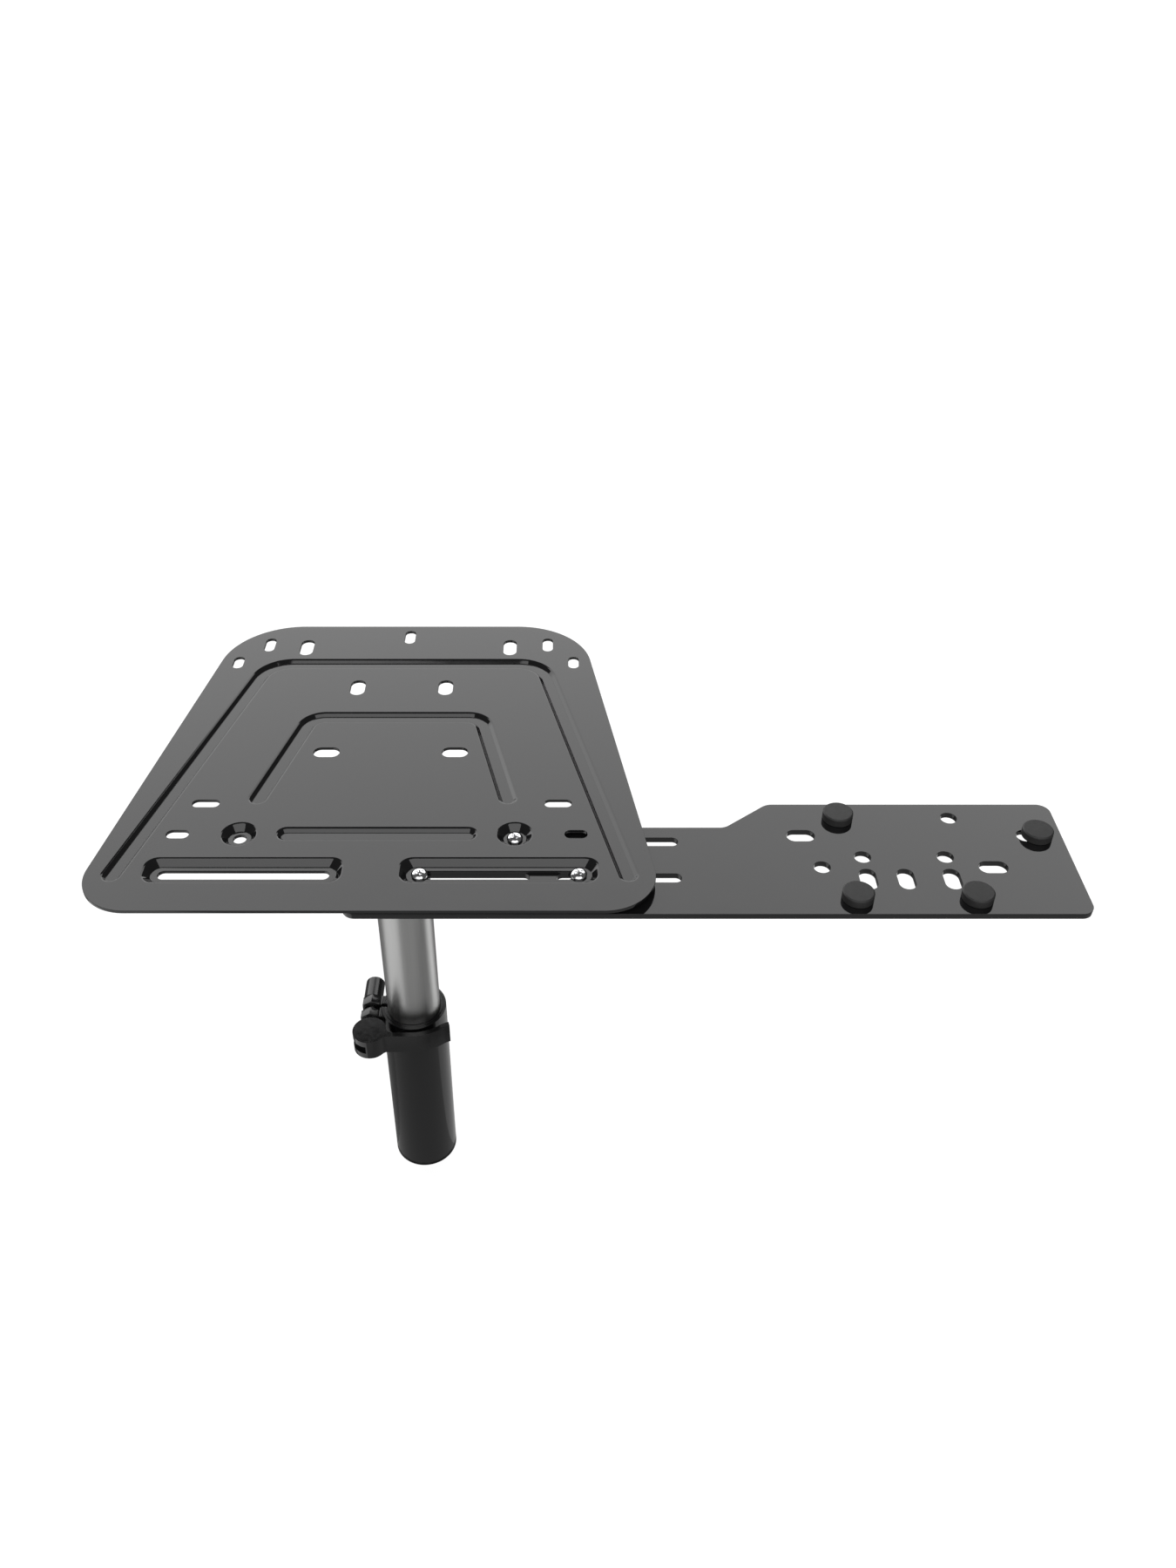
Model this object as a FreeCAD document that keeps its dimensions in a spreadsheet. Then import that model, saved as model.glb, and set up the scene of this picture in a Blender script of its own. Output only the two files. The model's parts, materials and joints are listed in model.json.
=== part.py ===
import FreeCAD, Part
import math
import os
import re
import Sketcher
from FreeCAD import Rotation, Vector

# Head of a racing wheel stand, in millimetres. A pressed wheel plate and a sliding shifter plate ride on a
# round post, which a quick lever clamps in the mouth of the stand's lower tube. The origin is the centre of
# the lower tube's bottom end, with Z up, X to the user's right and Y away from the user.

SIZES = {
    # lower tube and the split liner in its mouth
    "tube_length": 170.0,
    "tube_diameter": 50.8,
    "tube_wall": 2.0,
    "slit_width": 3.3,
    "slit_length": 62.0,
    "liner_length": 50.0,
    "liner_wall": 2.6,
    "running_gap": 0.1,
    "seat_gap": 0.05,
    # post, its welded head and its foot; the liner's bore gives the post its diameter
    "post_wall": 2.0,
    "post_rise": 246.0,
    "post_insertion": 102.0,
    "flange_margin": 11.35,
    "flange_thick": 3.0,
    "gusset_thick": 3.0,
    "gusset_height": 32.0,
    "gusset_lip": 4.0,
    "plug_gap": 0.4,
    "plug_height": 8.0,
    "spigot_height": 20.0,
    "spigot_gap": 0.3,
    # clamp: a bolt across the slit, drawn tight by a cam lever
    "web_gap": 1.4,
    "bolt_drop": 7.0,
    "bolt_diameter": 6.0,
    "bolt_clearance": 0.3,
    "hex_flats": 14.4,
    "hex_front_length": 9.4,
    "hex_back_length": 13.3,
    "web_height": 12.0,
    "cap_diameter": 15.0,
    "cap_length": 16.0,
    "cap_end": 2.0,
    "cap_chamfer": 1.0,
    "washer_neck_diameter": 11.0,
    "washer_neck_length": 3.2,
    # cam lever, seen from above: a round cam on an off-centre pin, and an arm that wraps the tube
    "cam_radius": 13.0,
    "cam_height": 18.0,
    "cam_offset": 2.0,
    "cam_gap": 0.3,
    "pin_diameter": 6.0,
    "pin_gap": 0.08,
    "eye_diameter": 12.0,
    "eye_height": 6.4,
    "eye_slot_height": 7.2,
    "eye_slot_gap": 0.8,
    "arm_thick": 4.0,
    "arm_inset": 6.5,
    "arm_bend_radius": 40.0,
    "arm_bend_angle": 38.0,
    "arm_flare_radius": 15.0,
    "arm_flare_angle": 22.0,
    "arm_fillet": 5.0,
    # wheel plate: pressed sheet; y counts back from its front edge, half widths from its centre line, and an
    # inset forwards from its back edge
    "post_setback": 152.0,
    "plate_thick": 2.2,
    "plate_depth": 320.2,
    "plate_front_half": 179.1,
    "plate_back_half": 130.9,
    "plate_front_corner": 32.0,
    "plate_back_corner": 56.0,
    # its pressed channels, with a flat floor between sloped walls
    "channel_width": 12.2,
    "channel_floor": 7.2,
    "channel_depth": 2.5,
    "cut_margin": 1.0,
    "outer_channel_inset": 53.2,
    "outer_channel_knee": 101.9,
    "outer_channel_corner": 22.5,
    "outer_channel_end_x": 157.3,
    "outer_channel_end_y": 32.0,
    "inner_channel_back": 197.4,
    "inner_channel_knee": 60.1,
    "inner_channel_corner": 12.5,
    "inner_channel_end_x": 81.5,
    "inner_channel_end_y": 106.5,
    "cross_channel_y": 70.2,
    "cross_channel_end": 57.1,
    # its pressed dishes, which stand it off from the shifter plate
    "dish_depth": 4.3,
    "round_dish_x": 87.0,
    "round_dish_y": 70.0,
    "round_dish_radius": 11.5,
    "round_floor_radius": 7.5,
    "round_hole_radius": 4.2,
    "long_dish_x": 78.3,
    "long_dish_y": 36.0,
    "long_dish_length": 122.4,
    "long_dish_width": 23.0,
    "long_dish_corner": 8.0,
    "long_floor_length": 114.4,
    "long_floor_width": 15.0,
    "long_floor_corner": 7.4,
    # its slots
    "long_slot_length": 105.4,
    "long_slot_width": 7.8,
    "back_centre_slot_inset": 15.8,
    "back_centre_slot_length": 18.0,
    "back_centre_slot_width": 8.0,
    "back_inner_slot_x": 77.3,
    "back_inner_slot_inset": 30.6,
    "back_inner_slot_length": 21.0,
    "back_inner_slot_width": 10.0,
    "back_mid_slot_x": 106.0,
    "back_mid_slot_inset": 26.8,
    "back_mid_slot_length": 18.0,
    "back_mid_slot_width": 7.8,
    "back_outer_slot_x": 125.5,
    "back_outer_slot_inset": 51.6,
    "back_outer_slot_length": 15.3,
    "back_outer_slot_width": 7.8,
    "upper_slot_x": 32.0,
    "upper_slot_y": 235.0,
    "upper_slot_length": 18.8,
    "upper_slot_width": 10.7,
    "middle_slot_x": 43.8,
    "middle_slot_y": 156.2,
    "middle_slot_length": 18.0,
    "middle_slot_width": 10.9,
    "lower_slot_x": 114.3,
    "lower_slot_y": 100.6,
    "lower_slot_length": 17.9,
    "lower_slot_width": 7.6,
    "front_slot_x": 125.7,
    "front_slot_y": 69.7,
    "front_slot_length": 14.5,
    "front_slot_width": 8.0,
    # shifter plate: flat plate under the wheel plate's dishes, in the same x and y
    "shifter_thick": 4.0,
    "shifter_left": -15.0,
    "shifter_right": 435.0,
    "shifter_front": 4.0,
    "shifter_narrow_back": 84.0,
    "shifter_wide_back": 107.5,
    "shoulder_start": 221.3,
    "shoulder_end": 250.6,
    "shoulder_fillet": 10.0,
    "shifter_corner": 8.0,
    "rail_width": 8.0,
    "rail_front_y": 36.0,
    "rail_back_y": 70.0,
    "rail_front_length": 77.0,
    "rail_front_left_x": 58.5,
    "rail_front_right_x": 151.9,
    "rail_back_x": 131.1,
    "rail_back_length": 118.4,
    "hole_diameter": 10.6,
    "cross_slot_length": 18.2,
    "cross_slot_width": 10.9,
    "cross_slot_near_x": 268.8,
    "cross_slot_near_y": 76.0,
    "cross_slot_mid_x": 384.0,
    "cross_slot_mid_y": 45.9,
    "cross_slot_far_x": 415.3,
    "cross_slot_far_y": 76.0,
    "tall_slot_length": 18.4,
    "tall_slot_width": 10.6,
    "tall_slot_y": 35.0,
    "tall_slot_near_x": 304.6,
    "tall_slot_mid_x": 327.9,
    "tall_slot_far_x": 356.2,
    "side_hole_x": 277.9,
    "side_hole_y": 45.9,
    "pair_hole_near_x": 304.6,
    "pair_hole_far_x": 356.3,
    "pair_hole_y": 55.4,
    "bumper_near_x": 295.0,
    "bumper_far_x": 367.1,
    "bumper_front_y": 18.0,
    "bumper_back_y": 93.5,
    "bumper_slot_play": 0.2,
    # push-in rubber bumpers
    "bumper_radius": 9.7,
    "bumper_height": 5.9,
    "bumper_bevel": 1.0,
    "stem_gap": 0.15,
    "stem_below": 2.0,
    # screws, washers and nuts that hold the shifter plate to the wheel plate
    "screw_diameter": 6.0,
    "screw_length": 16.0,
    "head_diameter": 10.3,
    "head_flat_diameter": 7.2,
    "head_height": 3.4,
    "head_edge": 1.4,
    "recess_span": 5.8,
    "recess_width": 1.3,
    "recess_depth": 2.0,
    "washer_diameter": 12.5,
    "washer_bore": 6.6,
    "washer_thick": 1.6,
    "nut_flats": 10.0,
    "nut_height": 5.0,
    "nut_gap": 0.05,
}

# Heights and places that several pieces share, as expressions over the sizes.
PLATE_TOP = "(tube_length + post_rise)"
PLATE_FRONT = "(-post_setback)"
SHIFTER_TOP = f"({PLATE_TOP} - dish_depth - plate_thick)"
SHIFTER_UNDERSIDE = f"({SHIFTER_TOP} - shifter_thick)"
POST_DIAMETER = "(tube_diameter - 2 * (tube_wall + seat_gap + liner_wall + running_gap))"
POST_FOOT = "(tube_length - post_insertion)"
FLANGE_RADIUS = f"({POST_DIAMETER} / 2 + flange_margin)"
FLANGE_TOP = f"({PLATE_TOP} - plate_thick)"
BOLT_LEVEL = "(tube_length - bolt_drop)"
BOLT_OFFSET = "(tube_diameter / 2 + web_gap + hex_flats / 2)"
HEX_FRONT = "(-slit_width / 2)"
HEX_BACK = "(slit_width / 2)"
CAM_PIN_Y = "(-slit_width / 2 - hex_front_length - washer_neck_length - cam_gap - cam_radius)"
CHANNEL_BACK = {"outer_channel": "(plate_depth - outer_channel_inset)", "inner_channel": "inner_channel_back"}

doc = FreeCAD.newDocument("wheel_stand_head")


def make_sheet():
    """The spreadsheet that holds every driving size under its own name."""
    made = doc.addObject("Spreadsheet::Sheet", "dims")
    for row, (name, number) in enumerate(SIZES.items(), start=1):
        made.set(f"A{row}", name)
        made.set(f"B{row}", str(number))
        made.setAlias(f"B{row}", name)
    doc.recompute()
    return made


sheet = make_sheet()


def bound(text):
    """An expression with each size's name pointing at its cell in the sheet."""
    return re.sub(r"[a-z_]+", lambda word: "dims." + word[0] if word[0] in SIZES else word[0], text)


def number(text):
    """The present value of an expression over the sizes."""
    return float(sheet.evalExpression(bound(text)))


# Bodies, sketches and the constraints that tie them to the sheet.


def new_body(name, x="0", y="0", z="0", turn=0):
    body = doc.addObject("PartDesign::Body", name)
    body.Label = name
    body.Placement.Rotation = Rotation(Vector(0, 0, 1), turn)
    for way, place in zip("xyz", (x, y, z)):
        if place != "0":
            body.setExpression(f"Placement.Base.{way}", bound(place))
    return body


def new_sketch(body, name, plane="XY_Plane", x="0", y="0", z="0"):
    """A sketch on one of the body's own planes, moved by x and y in the plane and z along its normal."""
    sketch = body.newObject("Sketcher::SketchObject", f"{body.Name}_{name}")
    support = next(item for item in body.Origin.OriginFeatures if item.Role == plane)
    sketch.AttachmentSupport = (support, [""])
    sketch.MapMode = "FlatFace"
    for way, place in zip("xyz", (x, y, z)):
        if place != "0":
            sketch.setExpression(f"AttachmentOffset.Base.{way}", bound(place))
    return sketch


def constrain(sketch, kind, *args):
    """A constraint whose last argument is an expression over the sizes."""
    index = sketch.addConstraint(Sketcher.Constraint(kind, *args[:-1], number(args[-1])))
    sketch.setExpression(f"Constraints[{index}]", bound(args[-1]))


def fix(sketch, *rule):
    sketch.addConstraint(Sketcher.Constraint(*rule))


def pin(sketch, item, point, x, y):
    """Hold a point of the sketch at x and y; a zero lies on the sketch's axis."""
    for kind, place, axis in (("DistanceX", x, -2), ("DistanceY", y, -1)):
        if place == "0":
            fix(sketch, "PointOnObject", item, point, axis)
        elif place is not None:
            constrain(sketch, kind, -1, 1, item, point, place)


def add_line(sketch, start, end):
    return sketch.addGeometry(Part.LineSegment(Vector(*start, 0), Vector(*end, 0)), False)


def add_arc(sketch, centre, radius, start_angle, end_angle):
    circle = Part.Circle(Vector(*centre, 0), Vector(0, 0, 1), radius)
    return sketch.addGeometry(Part.ArcOfCircle(circle, start_angle, end_angle), False)


def add_circle(sketch, x, y, radius):
    circle = Part.Circle(Vector(number(x), number(y), 0), Vector(0, 0, 1), number(radius))
    item = sketch.addGeometry(circle, False)
    pin(sketch, item, 3, x, y)
    constrain(sketch, "Radius", item, radius)


def add_slot(sketch, x, y, length, width, along="X"):
    """A round-ended slot centred on x and y."""
    reach = number(f"({length} - {width}) / 2")
    radius = number(f"{width} / 2")
    ahead = Vector(1, 0, 0) if along == "X" else Vector(0, 1, 0)
    turn = 0.0 if along == "X" else math.pi / 2
    middle = Vector(number(x), number(y), 0)
    side = Vector(-ahead.y, ahead.x, 0) * radius
    low = middle - ahead * reach
    high = middle + ahead * reach
    first = add_arc(sketch, (low.x, low.y), radius, turn + math.pi / 2, turn + 1.5 * math.pi)
    right = add_line(sketch, (low - side)[:2], (high - side)[:2])
    last = add_arc(sketch, (high.x, high.y), radius, turn - math.pi / 2, turn + math.pi / 2)
    left = add_line(sketch, (high + side)[:2], (low + side)[:2])
    ring = (first, right, last, left)
    for item, following in zip(ring, ring[1:] + ring[:1]):
        fix(sketch, "Tangent", item, 2, following, 1)
    fix(sketch, "Horizontal" if along == "X" else "Vertical", right)
    fix(sketch, "Equal", first, last)
    offset = f"({length} - {width}) / 2"
    if along == "X":
        pin(sketch, first, 3, f"{x} - {offset}", y)
        pin(sketch, last, 3, f"{x} + {offset}", None)
    else:
        pin(sketch, first, 3, x, f"{y} - {offset}")
        pin(sketch, last, 3, None, f"{y} + {offset}")
    constrain(sketch, "Radius", first, f"{width} / 2")


def add_rounded_rectangle(sketch, x, y, length, width, corner):
    """A rectangle along X, centred on x and y, with round corners."""
    centre_x, centre_y, radius = number(x), number(y), number(corner)
    across, deep = number(f"{length} / 2") - radius, number(f"{width} / 2") - radius
    ring = []
    for quarter in range(4):
        angle = quarter * math.pi / 2
        sign_x = 1 if quarter in (0, 3) else -1
        sign_y = 1 if quarter in (0, 1) else -1
        centre = (centre_x + sign_x * across, centre_y + sign_y * deep)
        ring.append(add_arc(sketch, centre, radius, angle, angle + math.pi / 2))
        turned = angle + math.pi / 2
        start = (centre[0] + radius * math.cos(turned), centre[1] + radius * math.sin(turned))
        run = 2 * (across if quarter in (0, 2) else deep)
        end = (start[0] - run * math.sin(turned), start[1] + run * math.cos(turned))
        ring.append(add_line(sketch, start, end))
    for item, following in zip(ring, ring[1:] + ring[:1]):
        fix(sketch, "Tangent", item, 2, following, 1)
    arcs, lines = ring[0::2], ring[1::2]
    for arc in arcs[1:]:
        fix(sketch, "Equal", arcs[0], arc)
    fix(sketch, "Horizontal", lines[0])
    fix(sketch, "Vertical", lines[1])
    pin(sketch, arcs[0], 3, f"{x} + {length} / 2 - {corner}", f"{y} + {width} / 2 - {corner}")
    pin(sketch, arcs[2], 3, f"{x} - {length} / 2 + {corner}", f"{y} - {width} / 2 + {corner}")
    constrain(sketch, "Radius", arcs[0], corner)


def add_outline(sketch, corners):
    """A closed outline through corners (x, y). A corner (x, y, radius, way) starts an arc to the next corner,
    and way, left or right, says to which side the outline turns along it."""
    points = [(number(corner[0]), number(corner[1])) for corner in corners]
    ring = []
    for index, corner in enumerate(corners):
        start, end = points[index], points[(index + 1) % len(points)]
        if len(corner) == 2:
            ring.append((add_line(sketch, start, end), 1, 2))
            continue
        radius, way = number(corner[2]), corner[3]
        chord = math.dist(start, end)
        rise = math.sqrt(max(radius**2 - (chord / 2) ** 2, 0.0))
        side = 1 if way == "left" else -1
        centre = (
            (start[0] + end[0]) / 2 - side * rise * (end[1] - start[1]) / chord,
            (start[1] + end[1]) / 2 + side * rise * (end[0] - start[0]) / chord,
        )
        angles = [math.atan2(point[1] - centre[1], point[0] - centre[0]) for point in (start, end)]
        if way == "left":
            ring.append((add_arc(sketch, centre, radius, *angles), 1, 2))
        else:
            ring.append((add_arc(sketch, centre, radius, *reversed(angles)), 2, 1))
        constrain(sketch, "Radius", ring[-1][0], corner[2])
    for (item, _, end), (following, start, _) in zip(ring, ring[1:] + ring[:1]):
        fix(sketch, "Coincident", item, end, following, start)
    for (item, start, _), corner in zip(ring, corners):
        pin(sketch, item, start, corner[0], corner[1])


def add_hexagon(sketch, flats):
    """A hexagon about the sketch's origin with two of its flats upright."""
    corners = []
    for side in range(6):
        angle = 30 + 60 * side
        reach = f"{flats} / 2 / cos(30)"
        x = "0" if angle in (90, 270) else f"{reach} * cos({angle})"
        corners.append((x, f"{reach} * sin({angle})"))
    add_outline(sketch, corners)


# Features.


def add_feature(body, kind, name, sketch=None):
    made = body.newObject("PartDesign::" + kind, f"{body.Name}_{name}")
    if sketch is not None:
        made.Profile = sketch
    return made


def pad(body, name, sketch, length, side="One side", down=False):
    made = add_feature(body, "Pad", name, sketch)
    made.SideType = side
    made.Reversed = down
    made.setExpression("Length", bound(length))
    return made


def pocket(body, name, sketch, length=None, side="One side", back=False):
    """Cut a sketch's outline out of the body, along its normal where back is set, through it without length."""
    made = add_feature(body, "Pocket", name, sketch)
    made.SideType = side
    made.Reversed = back
    if length is None:
        made.Type = "ThroughAll"
    else:
        made.setExpression("Length", bound(length))
    return made


def revolve(body, name, sketch, kind="Revolution"):
    made = add_feature(body, kind, name, sketch)
    made.ReferenceAxis = (sketch, ["V_Axis"])
    made.Angle = 360
    return made


def fillet(body, name, base, radius, chosen):
    """Round the straight upright edges of base that chosen accepts by their place."""
    doc.recompute()
    edges = []
    for index, edge in enumerate(base.Shape.Edges, start=1):
        bottom, top = edge.Vertexes[0].Point, edge.Vertexes[-1].Point
        upright = math.hypot(top.x - bottom.x, top.y - bottom.y) < 1e-6 < abs(top.z - bottom.z)
        if upright and chosen(bottom):
            edges.append(f"Edge{index}")
    made = add_feature(body, "Fillet", name)
    made.Base = (base, edges)
    made.setExpression("Radius", bound(radius))
    return made


def mirror(body, name, originals):
    """The originals again on the other side of the body's YZ plane."""
    made = add_feature(body, "Mirrored", name)
    made.Originals = originals
    plane = next(item for item in body.Origin.OriginFeatures if item.Role == "YZ_Plane")
    made.MirrorPlane = (plane, [""])
    body.Tip = made
    return made


# Lower tube, liner and clamp.


def ring(name, outer, inner, length, z):
    """A plain tube on the Z axis."""
    body = new_body(name, z=z)
    sketch = new_sketch(body, "section")
    add_circle(sketch, "0", "0", outer)
    add_circle(sketch, "0", "0", inner)
    pad(body, "wall", sketch, length)
    return body


def cut_slit(body, top, length):
    """The clamp's slit, down from the mouth on the -X side, with a round lower end."""
    sketch = new_sketch(body, "slit_outline", "YZ_Plane")
    add_slot(sketch, "0", top, f"2 * ({length})", "slit_width", "Y")
    pocket(body, "slit", sketch, "tube_diameter")


def lower_tube():
    body = ring("lower_tube", "tube_diameter / 2", "tube_diameter / 2 - tube_wall", "tube_length", "0")
    cut_slit(body, "tube_length", "slit_length")


def tube_liner():
    outer = "tube_diameter / 2 - tube_wall - seat_gap"
    inner = f"{POST_DIAMETER} / 2 + running_gap"
    body = ring("tube_liner", outer, inner, "liner_length", "tube_length - liner_length")
    sketch = new_sketch(body, "slit_outline", "YZ_Plane")
    add_outline(
        sketch,
        [
            ("-slit_width / 2", "-liner_length / 4"),
            ("slit_width / 2", "-liner_length / 4"),
            ("slit_width / 2", "liner_length * 1.25"),
            ("-slit_width / 2", "liner_length * 1.25"),
        ],
    )
    pocket(body, "slit", sketch, "tube_diameter")


def clamp_web(name, near, far):
    """The short weld web between the tube and one hexagon, from y near to y far."""
    body = new_body(name, z=BOLT_LEVEL)
    sketch = new_sketch(body, "section")
    edge, inside = f"-{BOLT_OFFSET} + hex_flats / 2", f"-{BOLT_OFFSET} / 2"
    add_outline(sketch, [(edge, near), (inside, near), (inside, far), (edge, far)])
    pad(body, "block", sketch, "web_height", "Symmetric")
    tube = new_sketch(body, "tube_outline")
    add_circle(tube, "0", "0", "tube_diameter / 2 + seat_gap")
    pocket(body, "tube_seat", tube, side="Symmetric")


def clamp_hex(name, start, length):
    """A hexagon spacer on the clamp bolt, from y start backwards."""
    body = new_body(name, f"-{BOLT_OFFSET}", start, BOLT_LEVEL)
    sketch = new_sketch(body, "section", "XZ_Plane")
    add_hexagon(sketch, "hex_flats")
    add_circle(sketch, "0", "0", "bolt_diameter / 2 + bolt_clearance")
    pad(body, "spacer", sketch, length, down=True)


def clamp_bolt():
    """The draw bolt: an eye for the cam's pin and a shank that ends in the cap nut."""
    body = new_body("clamp_bolt", f"-{BOLT_OFFSET}", CAM_PIN_Y, BOLT_LEVEL)
    eye = new_sketch(body, "eye_outline")
    add_circle(eye, "0", "0", "eye_diameter / 2")
    pad(body, "eye", eye, "eye_height", "Symmetric")
    shank = new_sketch(body, "shank_section", "XZ_Plane")
    add_circle(shank, "0", "0", "bolt_diameter / 2")
    reach = f"slit_width / 2 + hex_back_length + cap_length - cap_end - {CAM_PIN_Y}"
    pad(body, "shank", shank, reach, down=True)
    hole = new_sketch(body, "hole_outline")
    add_circle(hole, "0", "0", "pin_diameter / 2 + pin_gap")
    pocket(body, "hole", hole, side="Symmetric")


def clamp_cap_nut():
    """The round cap nut at the bolt's far end, turned with its blind bore."""
    body = new_body("clamp_cap_nut", f"-{BOLT_OFFSET}", f"{HEX_BACK} + hex_back_length", BOLT_LEVEL)
    sketch = new_sketch(body, "profile", "XY_Plane")
    bore = "bolt_diameter / 2 + seat_gap"
    bore_end = "cap_length - cap_end + seat_gap"
    add_outline(
        sketch,
        [
            (bore, "0"),
            ("cap_diameter / 2", "0"),
            ("cap_diameter / 2", "cap_length - cap_chamfer"),
            ("cap_diameter / 2 - cap_chamfer", "cap_length"),
            ("0", "cap_length"),
            ("0", bore_end),
            (bore, bore_end),
        ],
    )
    revolve(body, "turned", sketch)


def cam_washer():
    """The thrust washer that the cam presses on."""
    start = f"{HEX_FRONT} - hex_front_length"
    body = new_body("cam_washer", f"-{BOLT_OFFSET}", start, BOLT_LEVEL)
    sketch = new_sketch(body, "section", "XZ_Plane")
    add_circle(sketch, "0", "0", "washer_neck_diameter / 2")
    add_circle(sketch, "0", "0", "bolt_diameter / 2 + bolt_clearance")
    pad(body, "disc", sketch, "washer_neck_length")


def arm_corners():
    """The arm from above, from the cam's middle to the flared tip and back along its inner face."""
    start_x = BOLT_OFFSET
    outer, bend, flare = "-arm_inset", "arm_bend_angle", "(arm_bend_angle - arm_flare_angle)"
    bend_x = f"{start_x} + arm_bend_radius * sin({bend})"
    bend_y = f"{outer} + arm_bend_radius * (1 - cos({bend}))"
    tip_x = f"{bend_x} + arm_flare_radius * (sin({bend}) - sin({flare}))"
    tip_y = f"{bend_y} + arm_flare_radius * (cos({flare}) - cos({bend}))"
    inner = f"{outer} + arm_thick"
    return [
        ("cam_offset", outer),
        (start_x, outer, "arm_bend_radius", "left"),
        (bend_x, bend_y, "arm_flare_radius", "right"),
        (tip_x, tip_y),
        (
            f"{tip_x} - arm_thick * sin({flare})",
            f"{tip_y} + arm_thick * cos({flare})",
            "arm_flare_radius + arm_thick",
            "left",
        ),
        (
            f"{bend_x} - arm_thick * sin({bend})",
            f"{bend_y} + arm_thick * cos({bend})",
            "arm_bend_radius - arm_thick",
            "right",
        ),
        (start_x, inner),
        ("cam_offset", inner),
    ]


def cam_lever():
    """The lever: a round cam on its pin, slotted for the bolt's eye all the way round its outer side."""
    body = new_body("cam_lever", f"-{BOLT_OFFSET}", CAM_PIN_Y, BOLT_LEVEL)
    arm = new_sketch(body, "arm_outline")
    add_outline(arm, arm_corners())
    pad(body, "arm", arm, "cam_height", "Symmetric")
    cam = new_sketch(body, "cam_outline")
    add_circle(cam, "cam_offset", "0", "cam_radius")
    head = pad(body, "cam", cam, "cam_height", "Symmetric")
    reach = number("cam_offset + cam_radius + cut_margin")
    rounded = fillet(body, "neck", head, "arm_fillet", lambda point: 0 < point.x < reach and point.y < 0)
    body.Tip = rounded
    slot = new_sketch(body, "eye_slot_outline")
    far = "(cam_radius + cam_offset + cut_margin)"
    side = "(eye_diameter / 2 + eye_slot_gap)"
    add_outline(
        slot,
        [
            (side, far),
            (f"-{far}", far),
            (f"-{far}", f"-{far}"),
            ("0", f"-{far}"),
            ("0", f"-{side}", side, "left"),
            (side, "0"),
        ],
    )
    pocket(body, "eye_slot", slot, "eye_slot_height", "Symmetric")
    hole = new_sketch(body, "hole_outline")
    add_circle(hole, "0", "0", "pin_diameter / 2 + seat_gap")
    pocket(body, "hole", hole, side="Symmetric")


def cam_pin():
    body = new_body("cam_pin", f"-{BOLT_OFFSET}", CAM_PIN_Y, BOLT_LEVEL)
    sketch = new_sketch(body, "section")
    add_circle(sketch, "0", "0", "pin_diameter / 2")
    pad(body, "rod", sketch, "cam_height", "Symmetric")


# Post and what is welded to it.


def post():
    length = f"{FLANGE_TOP} - flange_thick - {POST_FOOT}"
    ring("post", f"{POST_DIAMETER} / 2", f"{POST_DIAMETER} / 2 - post_wall", length, POST_FOOT)


def post_flange():
    body = new_body("post_flange", z=FLANGE_TOP)
    sketch = new_sketch(body, "section")
    add_circle(sketch, "0", "0", FLANGE_RADIUS)
    pad(body, "disc", sketch, "flange_thick", down=True)


def post_gusset(name, turn):
    """One of the ribs under the flange, from the post's face out to just inside the flange's edge."""
    body = new_body(name, z=f"{FLANGE_TOP} - flange_thick", turn=turn)
    sketch = new_sketch(body, "outline", "XZ_Plane")
    near = f"{POST_DIAMETER} / 2 + seat_gap"
    far = f"{FLANGE_RADIUS} - seat_gap - gusset_thick / 4"
    add_outline(
        sketch,
        [
            (near, "0"),
            (near, "-gusset_height"),
            (f"{near} + gusset_lip / 2", "-gusset_height"),
            (far, "-gusset_lip"),
            (far, "0"),
        ],
    )
    pad(body, "rib", sketch, "gusset_thick", "Symmetric")


def post_foot_plug():
    """The plastic foot: a collar that runs in the lower tube and a spigot inside the post."""
    body = new_body("post_foot_plug", z=POST_FOOT)
    sketch = new_sketch(body, "profile", "XZ_Plane")
    collar = "tube_diameter / 2 - tube_wall - plug_gap"
    spigot = f"{POST_DIAMETER} / 2 - post_wall - spigot_gap"
    add_outline(
        sketch,
        [
            ("0", "-plug_height"),
            (collar, "-plug_height"),
            (collar, "0"),
            (spigot, "0"),
            (spigot, "spigot_height"),
            ("0", "spigot_height"),
        ],
    )
    revolve(body, "turned", sketch)


# Wheel plate.


def channel_profile(sketch):
    """A channel's cross section about the sketch's origin, with a low wall above each edge."""
    add_outline(
        sketch,
        [
            ("-channel_width / 2", "cut_margin"),
            ("-channel_width / 2", "0"),
            ("-channel_floor / 2", "-channel_depth"),
            ("channel_floor / 2", "-channel_depth"),
            ("channel_width / 2", "0"),
            ("channel_width / 2", "cut_margin"),
        ],
    )


def channel_half_profile(sketch):
    """The right half of the same section, which turned about its upright axis makes a channel's round end."""
    add_outline(
        sketch,
        [
            ("0", "cut_margin"),
            ("0", "-channel_depth"),
            ("channel_floor / 2", "-channel_depth"),
            ("channel_width / 2", "0"),
            ("channel_width / 2", "cut_margin"),
        ],
    )


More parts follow.
